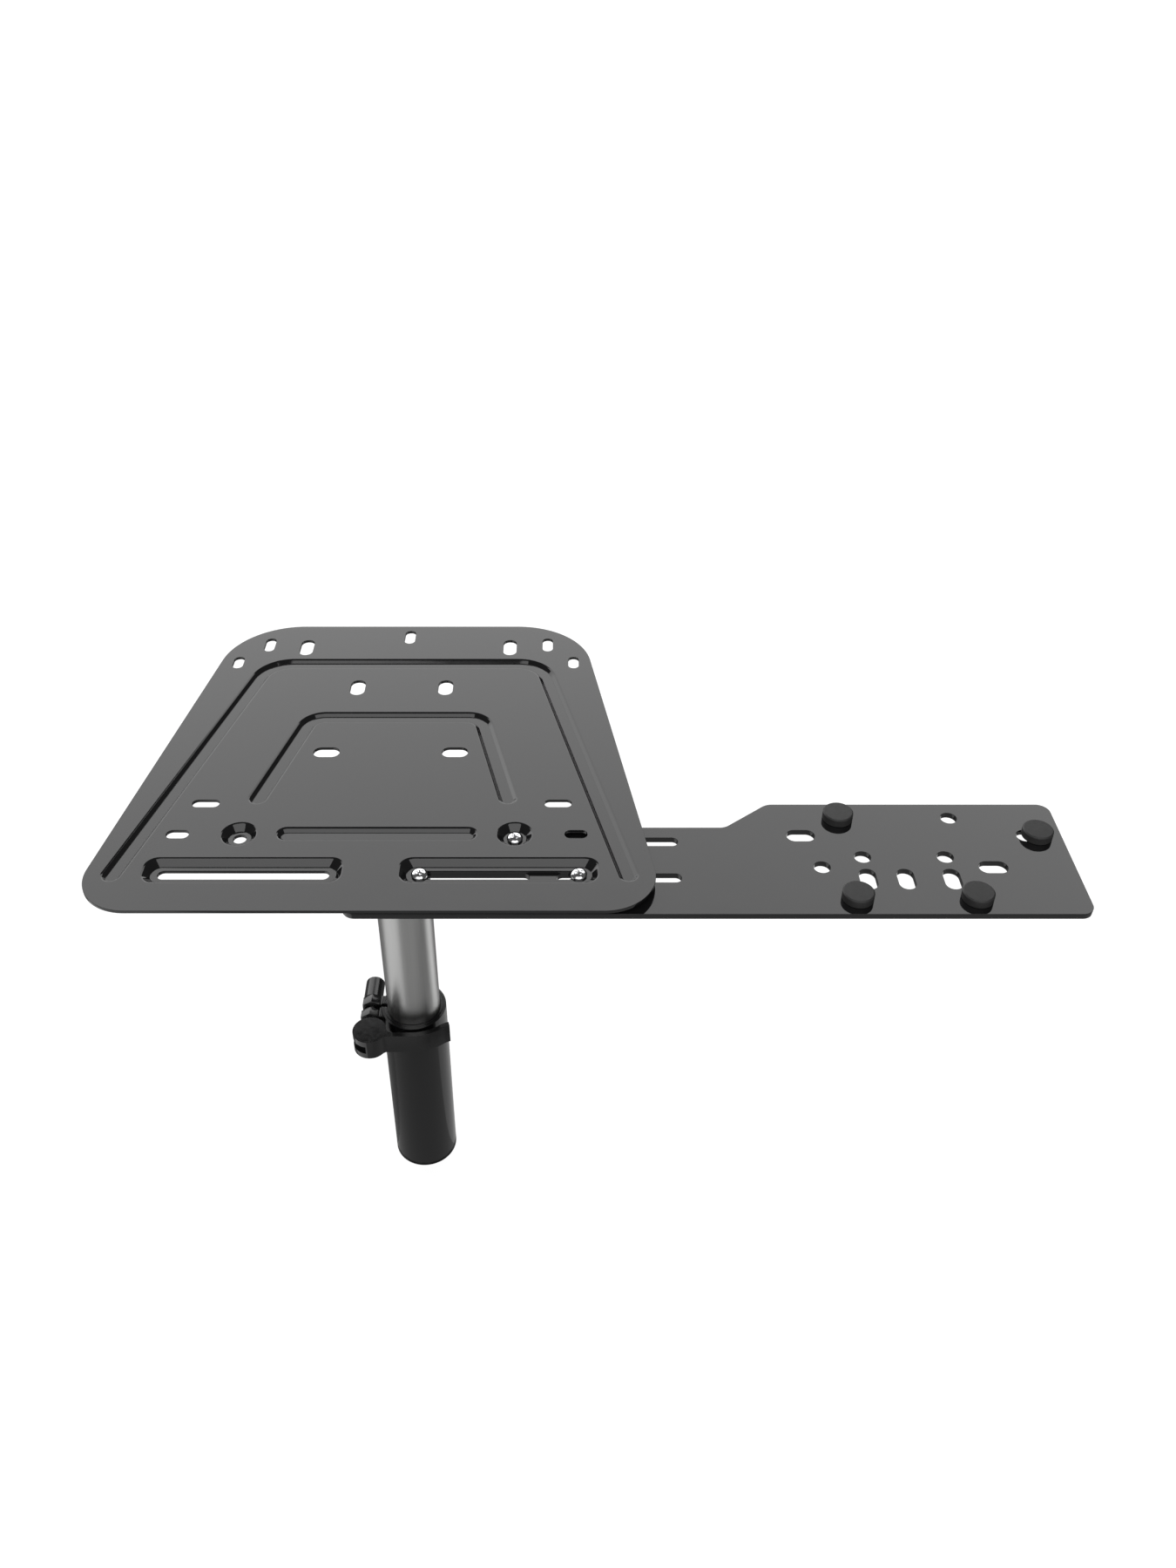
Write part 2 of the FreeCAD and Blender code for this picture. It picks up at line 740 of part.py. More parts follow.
def leg_path(sketch, name):
    """Half of a U-shaped channel's middle line: along the back, round the corner and down the leg."""
    back, knee = number(CHANNEL_BACK[name]), number(f"{name}_knee")
    corner = number(f"{name}_corner")
    end = (number(f"{name}_end_x"), number(f"{name}_end_y"))
    turn = math.atan2(back - end[1], end[0] - knee)
    run = corner * math.tan(turn / 2)
    leg_start = (knee + run * math.cos(turn), back - run * math.sin(turn))
    first = add_line(sketch, (0, back), (knee - run, back))
    arc = add_arc(sketch, (knee - run, back - corner), corner, math.pi / 2 - turn, math.pi / 2)
    leg = add_line(sketch, leg_start, end)
    fix(sketch, "Tangent", first, 2, arc, 2)
    fix(sketch, "Tangent", arc, 1, leg, 1)
    fix(sketch, "Horizontal", first)
    pin(sketch, first, 1, "0", CHANNEL_BACK[name])
    pin(sketch, leg, 2, f"{name}_end_x", f"{name}_end_y")
    constrain(sketch, "Radius", arc, f"{name}_corner")
    mark = sketch.addGeometry(Part.Point(Vector(knee, back, 0)), True)
    pin(sketch, mark, 1, f"{name}_knee", CHANNEL_BACK[name])
    fix(sketch, "PointOnObject", mark, 1, leg)


def cross_path(sketch, name):
    """Half of the straight channel's middle line."""
    end = number(f"{name}_end")
    level = number(f"{name}_y")
    line = add_line(sketch, (0, level), (end, level))
    pin(sketch, line, 1, "0", f"{name}_y")
    pin(sketch, line, 2, f"{name}_end", None)
    fix(sketch, "Horizontal", line)


def press_channel(body, name, way, level, path, back, end_x, end_y):
    """One half channel, added below the sheet or cut into its top, and its round end."""
    spine = new_sketch(body, f"{name}_{way}_path", z=level)
    path(spine, name)
    profile = new_sketch(body, f"{name}_{way}_profile", "YZ_Plane", x=back, y=level)
    channel_profile(profile)
    doc.recompute()
    pipe = add_feature(body, way + "Pipe", f"{name}_{way}_run", profile)
    pipe.Spine = (spine, [f"Edge{index}" for index in range(1, len(spine.Shape.Edges) + 1)])
    half = new_sketch(body, f"{name}_{way}_end_profile", "XZ_Plane", x=end_x, y=level, z=f"-{end_y}")
    channel_half_profile(half)
    end = revolve(body, f"{name}_{way}_end", half, "Revolution" if way == "Additive" else "Groove")
    return [pipe, end]


def press_dish(body, name, way, level, add_upper, add_lower):
    """One dish, lofted between its rim and its floor."""
    rim = new_sketch(body, f"{name}_{way}_rim", z=level)
    add_upper(rim)
    floor = new_sketch(body, f"{name}_{way}_floor", z=f"{level} - dish_depth")
    add_lower(floor)
    loft = add_feature(body, way + "Loft", f"{name}_{way}", rim)
    loft.Sections = [floor]
    loft.Ruled = True
    return [loft]


def press(body, way, level):
    """Every channel and dish of the right half, then the same on the left."""
    done = []
    for name, back in CHANNEL_BACK.items():
        ends = (back, f"{name}_end_x", f"{name}_end_y")
        done += press_channel(body, name, way, level, leg_path, *ends)
    cross = ("cross_channel_y", "cross_channel_end", "cross_channel_y")
    done += press_channel(body, "cross_channel", way, level, cross_path, *cross)
    done += press_dish(
        body,
        "round_dish",
        way,
        level,
        lambda rim: add_circle(rim, "round_dish_x", "round_dish_y", "round_dish_radius"),
        lambda floor: add_circle(floor, "round_dish_x", "round_dish_y", "round_floor_radius"),
    )
    rim_sizes = ("long_dish_length", "long_dish_width", "long_dish_corner")
    floor_sizes = ("long_floor_length", "long_floor_width", "long_floor_corner")
    done += press_dish(
        body,
        "long_dish",
        way,
        level,
        lambda rim: add_rounded_rectangle(rim, "long_dish_x", "long_dish_y", *rim_sizes),
        lambda floor: add_rounded_rectangle(floor, "long_dish_x", "long_dish_y", *floor_sizes),
    )
    mirror(body, f"{way}_left_half", done)


def slot_pair(body, name, x, y, along):
    """A slot on each side of the centre line, or one on it."""
    sketch = new_sketch(body, f"{name}_outline")
    for place in ("0",) if x == "0" else (x, f"-{x}"):
        add_slot(sketch, place, y, f"{name}_length", f"{name}_width", along)
    pocket(body, name, sketch)


def wheel_plate():
    body = new_body("wheel_plate", y=PLATE_FRONT, z=PLATE_TOP)
    blank = new_sketch(body, "outline")
    add_outline(
        blank,
        [
            ("-plate_front_half", "0"),
            ("plate_front_half", "0"),
            ("plate_back_half", "plate_depth"),
            ("-plate_back_half", "plate_depth"),
        ],
    )
    sheet_blank = pad(body, "blank", blank, "plate_thick", down=True)
    middle = number("plate_depth / 2")
    front = fillet(body, "front_corners", sheet_blank, "plate_front_corner", lambda point: point.y < middle)
    body.Tip = fillet(body, "back_corners", front, "plate_back_corner", lambda point: point.y > middle)
    press(body, "Additive", "-plate_thick")
    press(body, "Subtractive", "0")
    slot_pair(body, "long_slot", "long_dish_x", "long_dish_y", "X")
    slot_pair(body, "back_centre_slot", "0", "plate_depth - back_centre_slot_inset", "Y")
    for name in ("back_inner_slot", "back_mid_slot", "back_outer_slot"):
        slot_pair(body, name, f"{name}_x", f"plate_depth - {name}_inset", "Y")
    slot_pair(body, "upper_slot", "upper_slot_x", "upper_slot_y", "Y")
    for name in ("middle_slot", "lower_slot", "front_slot"):
        slot_pair(body, name, f"{name}_x", f"{name}_y", "X")
    holes = new_sketch(body, "round_holes_outline")
    for place in ("round_dish_x", "-round_dish_x"):
        add_circle(holes, place, "round_dish_y", "round_hole_radius")
    pocket(body, "round_holes", holes)


# Shifter plate and its bumpers.


def shifter_plate():
    body = new_body("shifter_plate", y=PLATE_FRONT, z=SHIFTER_TOP)
    blank = new_sketch(body, "outline")
    add_outline(
        blank,
        [
            ("shifter_left", "shifter_front"),
            ("shifter_right", "shifter_front"),
            ("shifter_right", "shifter_wide_back"),
            ("shoulder_end", "shifter_wide_back"),
            ("shoulder_start", "shifter_narrow_back"),
            ("shifter_left", "shifter_narrow_back"),
        ],
    )
    flat = pad(body, "flat", blank, "shifter_thick", down=True)
    ends = (number("shifter_left"), number("shifter_right"))
    corners = fillet(
        body, "corners", flat, "shifter_corner", lambda point: min(abs(point.x - end) for end in ends) < 1
    )
    shoulder = (number("shoulder_start"), number("shoulder_end"))
    body.Tip = fillet(
        body,
        "shoulder",
        corners,
        "shoulder_fillet",
        lambda point: min(abs(point.x - end) for end in shoulder) < 1,
    )
    rails = new_sketch(body, "rails_outline")
    for x in ("rail_front_left_x", "rail_front_right_x"):
        add_slot(rails, x, "rail_front_y", "rail_front_length", "rail_width")
    add_slot(rails, "rail_back_x", "rail_back_y", "rail_back_length", "rail_width")
    pocket(body, "rails", rails)
    across = new_sketch(body, "cross_slots_outline")
    for name in ("cross_slot_near", "cross_slot_mid", "cross_slot_far"):
        add_slot(across, f"{name}_x", f"{name}_y", "cross_slot_length", "cross_slot_width")
    pocket(body, "cross_slots", across)
    tall = new_sketch(body, "tall_slots_outline")
    for x in ("tall_slot_near_x", "tall_slot_mid_x", "tall_slot_far_x"):
        add_slot(tall, x, "tall_slot_y", "tall_slot_length", "tall_slot_width", "Y")
    pocket(body, "tall_slots", tall)
    holes = new_sketch(body, "holes_outline")
    for x, y in (
        ("side_hole_x", "side_hole_y"),
        ("pair_hole_near_x", "pair_hole_y"),
        ("pair_hole_far_x", "pair_hole_y"),
        ("bumper_near_x", "bumper_front_y"),
        ("bumper_near_x", "bumper_back_y"),
        ("bumper_far_x", "bumper_front_y"),
        ("bumper_far_x", "bumper_back_y"),
    ):
        add_circle(holes, x, y, "hole_diameter / 2")
    pocket(body, "holes", holes)


def bumper(name, x, y):
    """A push-in rubber bumper: a bevelled head on the plate and a stem through its hole."""
    body = new_body(name, x, f"{PLATE_FRONT} + {y}", SHIFTER_TOP)
    sketch = new_sketch(body, "profile", "XZ_Plane")
    stem = "hole_diameter / 2 - stem_gap"
    add_outline(
        sketch,
        [
            ("0", "-shifter_thick - stem_below"),
            (stem, "-shifter_thick - stem_below"),
            (stem, "0"),
            ("bumper_radius", "0"),
            ("bumper_radius", "bumper_height - bumper_bevel"),
            ("bumper_radius - bumper_bevel", "bumper_height"),
            ("0", "bumper_height"),
        ],
    )
    revolve(body, "moulded", sketch)


# Screws, washers and nuts.


def deck_screw(name, x, y):
    """A pan-head cross-recess screw on the floor of a dish."""
    body = new_body(name, x, f"{PLATE_FRONT} + {y}", f"{PLATE_TOP} - dish_depth")
    sketch = new_sketch(body, "profile", "XZ_Plane")
    shank, head = "screw_diameter / 2", "head_diameter / 2"
    add_outline(
        sketch,
        [
            ("0", "-screw_length"),
            (shank, "-screw_length"),
            (shank, "0"),
            (head, "0"),
            (head, "head_edge"),
            ("head_flat_diameter / 2", "head_height"),
            ("0", "head_height"),
        ],
    )
    revolve(body, "turned", sketch)
    recess = new_sketch(body, "recess_outline", z="head_height")
    far, near = "recess_span / 2", "recess_width / 2"
    add_outline(
        recess,
        [
            (far, near),
            (near, near),
            (near, far),
            (f"-{near}", far),
            (f"-{near}", near),
            (f"-{far}", near),
            (f"-{far}", f"-{near}"),
            (f"-{near}", f"-{near}"),
            (f"-{near}", f"-{far}"),
            (near, f"-{far}"),
            (near, f"-{near}"),
            (far, f"-{near}"),
        ],
    )
    pocket(body, "recess", recess, "recess_depth")


def deck_washer(name, x, y):
    body = new_body(name, x, f"{PLATE_FRONT} + {y}", SHIFTER_UNDERSIDE)
    sketch = new_sketch(body, "section")
    add_circle(sketch, "0", "0", "washer_diameter / 2")
    add_circle(sketch, "0", "0", "washer_bore / 2")
    pad(body, "disc", sketch, "washer_thick", down=True)


def deck_nut(name, x, y):
    body = new_body(name, x, f"{PLATE_FRONT} + {y}", f"{SHIFTER_UNDERSIDE} - washer_thick")
    sketch = new_sketch(body, "section")
    add_hexagon(sketch, "nut_flats")
    add_circle(sketch, "0", "0", "screw_diameter / 2 + nut_gap")
    pad(body, "hexagon", sketch, "nut_height", down=True)


def build():
    lower_tube()
    tube_liner()
    clamp_web("clamp_web_front", f"{HEX_FRONT} - hex_front_length", HEX_FRONT)
    clamp_web("clamp_web_back", HEX_BACK, f"{HEX_BACK} + hex_front_length")
    clamp_hex("clamp_hex_front", f"{HEX_FRONT} - hex_front_length", "hex_front_length")
    clamp_hex("clamp_hex_back", HEX_BACK, "hex_back_length")
    clamp_bolt()
    clamp_cap_nut()
    cam_washer()
    cam_lever()
    cam_pin()
    post()
    post_flange()
    for index in range(4):
        post_gusset(f"post_gusset_{index + 1}", 45 + 90 * index)
    post_foot_plug()
    wheel_plate()
    shifter_plate()
    places = {
        "left": ("long_dish_x - (long_slot_length - long_slot_width) / 2", "long_dish_y"),
        "right": ("long_dish_x + (long_slot_length - long_slot_width) / 2", "long_dish_y"),
        "rear": ("round_dish_x", "round_dish_y"),
    }
    for side, (x, y) in places.items():
        deck_screw(f"deck_screw_{side}", x, y)
        deck_washer(f"deck_washer_{side}", x, y)
        deck_nut(f"deck_nut_{side}", x, y)
    slot_end = "cross_slot_far_x + (cross_slot_length - cross_slot_width) / 2 + bumper_slot_play"
    bumper("bumper_1", "bumper_near_x", "bumper_front_y")
    bumper("bumper_2", "bumper_near_x", "bumper_back_y")
    bumper("bumper_3", "bumper_far_x", "bumper_front_y")
    bumper("bumper_4", slot_end, "cross_slot_far_y")
    doc.recompute()


def check_document():
    """Every object is sound, every feature changes its base, and every sub-part is one valid solid."""
    for item in doc.Objects:
        if {"Invalid", "Error"} & set(item.State):
            raise RuntimeError(f"{item.Label} failed: {item.State}")
        base = getattr(item, "BaseFeature", None)
        if item.TypeId.startswith("PartDesign::") and base is not None and item.TypeId != "PartDesign::Body":
            now, before = item.Shape, base.Shape
            if abs(now.Volume - before.Volume) < 0.01 and abs(now.Area - before.Area) < 0.01:
                raise RuntimeError(f"{item.Label} changes nothing")
    for body in doc.findObjects("PartDesign::Body"):
        shape = body.Shape
        if shape.isNull() or not shape.isValid() or len(shape.Solids) != 1:
            raise RuntimeError(f"{body.Label} isn't one valid solid")


def export_parts():
    os.makedirs("parts", exist_ok=True)
    for body in doc.findObjects("PartDesign::Body"):
        body.Shape.exportStep(f"parts/{body.Label}.step")


build()
check_document()
export_parts()
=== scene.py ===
# %% [markdown]
# # The head of a racing wheel stand
#
# The object is two black steel plates on a round post. A wheel is screwed to the large pressed plate, a
# shifter to the long flat one, and a quick lever clamps the post in the tube below. The solids come in as a
# fixed frame that already has every size, and this script gives them the finish, the rounded edges and the
# light of the photograph. Shapes are written in millimetres and turned into metres at the very end; camera,
# lights and floor are in metres.

# %% Load the frame
import json
import math

import bmesh
import bpy
import mathutils
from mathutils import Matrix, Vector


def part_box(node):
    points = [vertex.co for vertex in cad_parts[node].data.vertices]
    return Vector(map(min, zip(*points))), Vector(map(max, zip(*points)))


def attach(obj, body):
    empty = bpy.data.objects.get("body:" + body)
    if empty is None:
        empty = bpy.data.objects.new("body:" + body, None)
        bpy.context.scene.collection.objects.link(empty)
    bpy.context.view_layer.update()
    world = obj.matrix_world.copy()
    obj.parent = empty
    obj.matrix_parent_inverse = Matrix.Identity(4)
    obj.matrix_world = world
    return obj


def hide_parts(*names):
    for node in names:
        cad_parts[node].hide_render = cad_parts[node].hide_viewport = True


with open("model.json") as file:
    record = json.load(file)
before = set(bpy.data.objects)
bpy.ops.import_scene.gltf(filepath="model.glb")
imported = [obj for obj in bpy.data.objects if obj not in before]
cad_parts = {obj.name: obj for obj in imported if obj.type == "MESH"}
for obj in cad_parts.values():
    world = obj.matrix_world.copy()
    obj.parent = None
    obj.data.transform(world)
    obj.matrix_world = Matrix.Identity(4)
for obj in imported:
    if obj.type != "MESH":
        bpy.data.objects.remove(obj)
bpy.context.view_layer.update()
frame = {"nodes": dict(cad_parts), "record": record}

# %% [markdown]
# The frame's own numbers say where things are. The wheel plate's top is the highest level of the pressed
# plate, the shifter plate lies against the underside of its dishes, and both plates measure y from the wheel
# plate's front edge, so one number, the setback, moves a plate's y into the frame.

# %% Levels
MM = 0.001
PLATE_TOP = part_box("wheel_plate")[1].z / MM
PLATE_THICK = 2.2
DISH_DEPTH = 4.3
SHIFTER_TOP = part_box("shifter_plate")[1].z / MM
SHIFTER_THICK = 4.0
SETBACK = -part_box("wheel_plate")[0].y / MM
print("plate top", round(PLATE_TOP, 2), "shifter top", round(SHIFTER_TOP, 2), "setback", round(SETBACK, 2))

# %% [markdown]
# ## Camera
#
# The photograph looks down on the plates at about 37 degrees from a little to the right of the wheel plate's
# middle. Its parallel edges give the lens: they meet far above the picture, which fixes both the tilt and the
# focal length. A small shift, in pixels of the photograph, puts the optical centre where it was.

# %% The camera
PHOTO_HEIGHT = 1800.0
LOOK_DOWN = 36.76
view_data = bpy.data.cameras.new("photo_camera")
view_data.lens = 30.716
view_data.sensor_width = 36.0
view_data.shift_x = 30.45 / PHOTO_HEIGHT
view_data.shift_y = -35.2 / PHOTO_HEIGHT
view_data.clip_start = 0.01
view_data.clip_end = 50.0
camera = bpy.data.objects.new("photo_camera", view_data)
camera.location = (0.1165, -0.7275, 0.9616)
camera.rotation_euler = (math.radians(90.0 - LOOK_DOWN), 0.0, 0.0)
bpy.context.scene.collection.objects.link(camera)
bpy.context.scene.camera = camera
bpy.context.scene.view_settings.view_transform = "Standard"
print("camera at", tuple(round(v, 4) for v in camera.location))

# %% [markdown]
# ## Studio
#
# The photograph has a pure white ground with no shadow worth the name. The floor is a plain diffuse sheet, so
# the stand keeps a faint shadow on it, and the camera also sees a glow on it that lifts it to white. The glow
# is a little lower near the stand, or it would drown the shadow. Mirror-like faces see a weak glow of their
# own, on the floor in front of the plates only.

# %% Stage pieces and their paint
def stage_piece(name, points, faces, paint):
    mesh = bpy.data.meshes.new(name)
    mesh.from_pydata(points, [], faces)
    mesh.materials.append(paint)
    piece = bpy.data.objects.new(name, mesh)
    bpy.context.scene.collection.objects.link(piece)
    return piece


def bare_material(name):
    made = bpy.data.materials.new(name)
    made.use_nodes = True
    made.node_tree.nodes.clear()
    return made, made.node_tree.nodes, made.node_tree.links


def remap(nodes, links, source, span, result):
    """The socket of a node that turns the range span of a value into the range result."""
    made = nodes.new("ShaderNodeMapRange")
    for key, value in zip(("From Min", "From Max", "To Min", "To Max"), (*span, *result)):
        made.inputs[key].default_value = value
    links.new(source, made.inputs["Value"])
    return made.outputs["Result"]


print("stage helpers ready")

# %% The floor
FLOOR_HALF, FLOOR_Z, FLOOR_GREY = 9, -0.0005, 0.31
GLOW_REACH, GLOW_LEVEL = (0.5, 2.5), (0.88, 1.0)
FRONT_Y, FRONT_GLOW = (-0.16, -0.19), (0.0, 0.22)
floor_paint, nodes, links = bare_material("studio_white")
place = nodes.new("ShaderNodeTexCoord")
reach = nodes.new("ShaderNodeVectorMath")
reach.operation = "LENGTH"
links.new(place.outputs["Object"], reach.inputs[0])
rays = nodes.new("ShaderNodeLightPath")
level = nodes.new("ShaderNodeMath")
level.operation = "MULTIPLY"
links.new(rays.outputs["Is Camera Ray"], level.inputs[0])
links.new(remap(nodes, links, reach.outputs["Value"], GLOW_REACH, GLOW_LEVEL), level.inputs[1])
ahead = nodes.new("ShaderNodeSeparateXYZ")
links.new(place.outputs["Object"], ahead.inputs[0])
mirrored = nodes.new("ShaderNodeMath")
mirrored.operation = "MULTIPLY_ADD"
links.new(rays.outputs["Is Glossy Ray"], mirrored.inputs[0])
links.new(remap(nodes, links, ahead.outputs["Y"], FRONT_Y, FRONT_GLOW), mirrored.inputs[1])
links.new(level.outputs[0], mirrored.inputs[2])
glow = nodes.new("ShaderNodeEmission")
links.new(mirrored.outputs[0], glow.inputs["Strength"])
diffuse = nodes.new("ShaderNodeBsdfDiffuse")
diffuse.inputs["Color"].default_value = (FLOOR_GREY, FLOOR_GREY, FLOOR_GREY, 1)
both = nodes.new("ShaderNodeAddShader")
links.new(diffuse.outputs[0], both.inputs[0])
links.new(glow.outputs[0], both.inputs[1])
links.new(both.outputs[0], nodes.new("ShaderNodeOutputMaterial").inputs["Surface"])
floor_points = [(x * FLOOR_HALF, y * FLOOR_HALF, FLOOR_Z) for x, y in ((-1, -1), (1, -1), (1, 1), (-1, 1))]
stage_piece("studio_floor", floor_points, [(0, 1, 2, 3)], floor_paint)
print("floor ready")

# %% [markdown]
# Black gloss paint shows the room more than its own colour, so the lights are placed by what the plates
# mirror. The flats mirror a band of the room behind the stand, and a white wall there turns them evenly grey.
# The walls of the pressed forms that face the camera mirror a place high behind it, where a second panel
# hangs. The rest of the room stays dark, and it draws the black line round every pressed edge.
# A dimmer wall low behind the camera is mirrored only when the stand is seen from the back. All panels are
# parts of one big sphere, so their edges are simply two azimuths and two elevations.

# %% White panels
PANEL_RADIUS = 8.0
PANEL_CENTRE = (0.12, -0.05, 0.4)


def white_paint(name, strength):
    made, nodes, links = bare_material(name)
    lit = nodes.new("ShaderNodeEmission")
    lit.inputs["Strength"].default_value = strength
    links.new(lit.outputs[0], nodes.new("ShaderNodeOutputMaterial").inputs["Surface"])
    return made


def curved_panel(name, azimuths, elevations, strength, steps=16):
    """A patch of a sphere round the plates; azimuth 0 is +Y and 90 is +X, both in degrees."""
    points, faces = [], []
    for row in range(steps + 1):
        rise = math.radians(elevations[0] + (elevations[1] - elevations[0]) * row / steps)
        for column in range(steps + 1):
            turn = math.radians(azimuths[0] + (azimuths[1] - azimuths[0]) * column / steps)
            way = (math.sin(turn) * math.cos(rise), math.cos(turn) * math.cos(rise), math.sin(rise))
            points.append([c + PANEL_RADIUS * w for c, w in zip(PANEL_CENTRE, way)])
    for row in range(steps):
        for column in range(steps):
            first = row * (steps + 1) + column
            above = first + steps + 1
            faces.append((first, first + 1, above + 1, above))
    panel = stage_piece(name, points, faces, white_paint(name, strength))
    panel.visible_camera = False


curved_panel("wall_behind", (-62, 38), (24, 45.0), 2.28)
curved_panel("wall_behind_low", (-62, 17), (4, 24), 2.28)
curved_panel("panel_above_camera", (132, 226), (37, 62), 2.2)
curved_panel("wall_in_front_low", (120, 240), (4, 30), 1.0)
print("panels ready")

# %% [markdown]
# The room is dim for all that mirrors it or takes its light, and plain white for the camera.

# %% The room
ROOM_GREY = 0.09
room = bpy.data.worlds.new("room")
bpy.context.scene.world = room
room.use_nodes = True
nodes, links = room.node_tree.nodes, room.node_tree.links
nodes.clear()
rays = nodes.new("ShaderNodeLightPath")
mix = nodes.new("ShaderNodeMixShader")
links.new(rays.outputs["Is Camera Ray"], mix.inputs["Fac"])
for index, grey in ((1, ROOM_GREY), (2, 1)):
    background = nodes.new("ShaderNodeBackground")
    background.inputs["Color"].default_value = (grey, grey, grey, 1)
    links.new(background.outputs[0], mix.inputs[index])
links.new(mix.outputs[0], nodes.new("ShaderNodeOutputWorld").inputs["Surface"])
print("room ready")

# %% [markdown]
# The post stands upright and is seen from above, so all it can mirror is the ground around it. White cards
# that lie on the floor in two rings, bright ones to its left and right and dim ones close round it, give it
# the pale bands of the photograph and leave its middle darker. Mirror-like faces see them, and the camera
# doesn't.

# %% Cards on the floor
NEAR_RING, FAR_RING = (0.027, 0.178), (0.178, 0.95)
CARD_Z = 0.001


def floor_card(name, azimuths, strength, ring, steps=8):
    """A piece of a ring round the post's axis, between two azimuths in degrees and two radii in metres."""
    points = []
    for step in range(steps + 1):
        turn = math.radians(azimuths[0] + (azimuths[1] - azimuths[0]) * step / steps)
        points += [(r * math.sin(turn), r * math.cos(turn), CARD_Z) for r in ring]
    faces = [(2 * k, 2 * k + 2, 2 * k + 3, 2 * k + 1) for k in range(steps)]
    card = stage_piece(name, points, faces, white_paint(name, strength))
    card.visible_camera = card.visible_diffuse = card.visible_shadow = False


floor_card("left_card", (-155, -84), 1.05, FAR_RING)
floor_card("left_card_fade", (-186, -155), 0.4, FAR_RING)
floor_card("right_card", (54, 86), 1.25, (0.178, 0.9))
floor_card("right_card_near", (25, 100), 0.55, NEAR_RING)
floor_card("front_card_near", (100, 262), 0.32, NEAR_RING)
print("cards ready")

# %% [markdown]
# ## Finishes
#
# No painted, drawn or moulded surface is perfectly even. Each finish takes one noise for its gloss and one
# for its surface, at the scale of the real thing: the slow waves of sprayed gloss paint, the fine grain of
# satin powder coat, the lengthwise lines of a drawn tube. The noise reads the object's own coordinates, so it
# stays put on every piece.

# %% A finish with its own gloss and surface
NOISE_SPAN = (0.3, 0.7)
CLOUD_DETAIL, GRAIN_DETAIL = 3.0, 2.0


def noise(nodes, links, mapping, scale, detail):
    made = nodes.new("ShaderNodeTexNoise")
    made.inputs["Scale"].default_value = scale
    made.inputs["Detail"].default_value = detail
    links.new(mapping.outputs["Vector"], made.inputs["Vector"])
    return made.outputs["Fac"]


def finish(name, colour, gloss, grain, metal=0.0, shade=0.0, stretch=(1, 1, 1)):
    """gloss is (lowest roughness, highest, patches per metre), and grain is (bumps per metre, strength,
    height in millimetres). shade is how far the colour varies either way, and stretch multiplies the
    coordinates that both noises read."""
    made = bpy.data.materials.new(name)
    made.use_nodes = True
    nodes, links = made.node_tree.nodes, made.node_tree.links
    shader = nodes["Principled BSDF"]
    shader.inputs["Base Color"].default_value = (*colour, 1)
    shader.inputs["Metallic"].default_value = metal
    mapping = nodes.new("ShaderNodeMapping")
    mapping.inputs["Scale"].default_value = stretch
    links.new(nodes.new("ShaderNodeTexCoord").outputs["Object"], mapping.inputs["Vector"])
    cloud = noise(nodes, links, mapping, gloss[2], CLOUD_DETAIL)
    links.new(remap(nodes, links, cloud, NOISE_SPAN, gloss[:2]), shader.inputs["Roughness"])
    if shade:
        tint = nodes.new("ShaderNodeValToRGB")
        for stop, place, level in zip(tint.color_ramp.elements, NOISE_SPAN, (1 - shade, 1 + shade)):
            stop.position = place
            stop.color = (*[c * level for c in colour], 1)
        links.new(cloud, tint.inputs["Fac"])
        links.new(tint.outputs["Color"], shader.inputs["Base Color"])
    relief = nodes.new("ShaderNodeBump")
    relief.inputs["Strength"].default_value = grain[1]
    relief.inputs["Distance"].default_value = grain[2] * MM
    links.new(noise(nodes, links, mapping, grain[0], GRAIN_DETAIL), relief.inputs["Height"])
    links.new(relief.outputs["Normal"], shader.inputs["Normal"])
    return made


print("finish helper ready")

# %% The ten finishes
COAT = (0.011, 0.011, 0.0115)
SATIN = (0.016, 0.016, 0.0165)
DEEP = (0.006, 0.006, 0.0062)
ZINC = (0.42, 0.42, 0.43)
DRAWN = (0.46, 0.46, 0.455)
CHROME = (0.8, 0.8, 0.81)
RUBBER = (0.032, 0.032, 0.032)
LENGTHWISE = (1, 1, 0.02)
FINISHES = {
    "plate_gloss": finish("gloss_black_coat", COAT, (0.04, 0.07, 40), (180, 0.05, 0.06)),
    "frame_black": finish("satin_black_frame", SATIN, (0.3, 0.4, 300), (1500, 0.3, 0.1)),
    "tube_black": finish("gloss_black_tube", DEEP, (0.1, 0.15, 150), (900, 0.05, 0.04)),
    "clamp_black": finish("satin_black_clamp", DEEP, (0.12, 0.18, 400), (1200, 0.06, 0.05), shade=0.2),
    "lever_black": finish("satin_black_lever", DEEP, (0.09, 0.13, 300), (900, 0.04, 0.05)),
    "liner_plastic": finish("black_plastic", DEEP, (0.1, 0.15, 500), (1200, 0.05, 0.05)),
    "bolt_steel": finish("zinc_steel", ZINC, (0.26, 0.4, 900), (2500, 0.3, 0.08), 1.0, 0.15),
    "post_steel": finish("drawn_steel", DRAWN, (0.33, 0.38, 500), (900, 0.08, 0.06), 1.0, 0.03, LENGTHWISE),
    "screw_chrome": finish("bright_chrome", CHROME, (0.14, 0.2, 900), (1500, 0.05, 0.05), 1.0),
    "bumper_rubber": finish("matt_rubber", RUBBER, (0.48, 0.6, 700), (2600, 0.15, 0.08), shade=0.08),
}
print("finishes:", len(FINISHES))

# %% [markdown]
# The frame's record says which finish each node takes. Every node gets its own now, and the pieces that are
# built again further down take the finish of the node that they stand for.

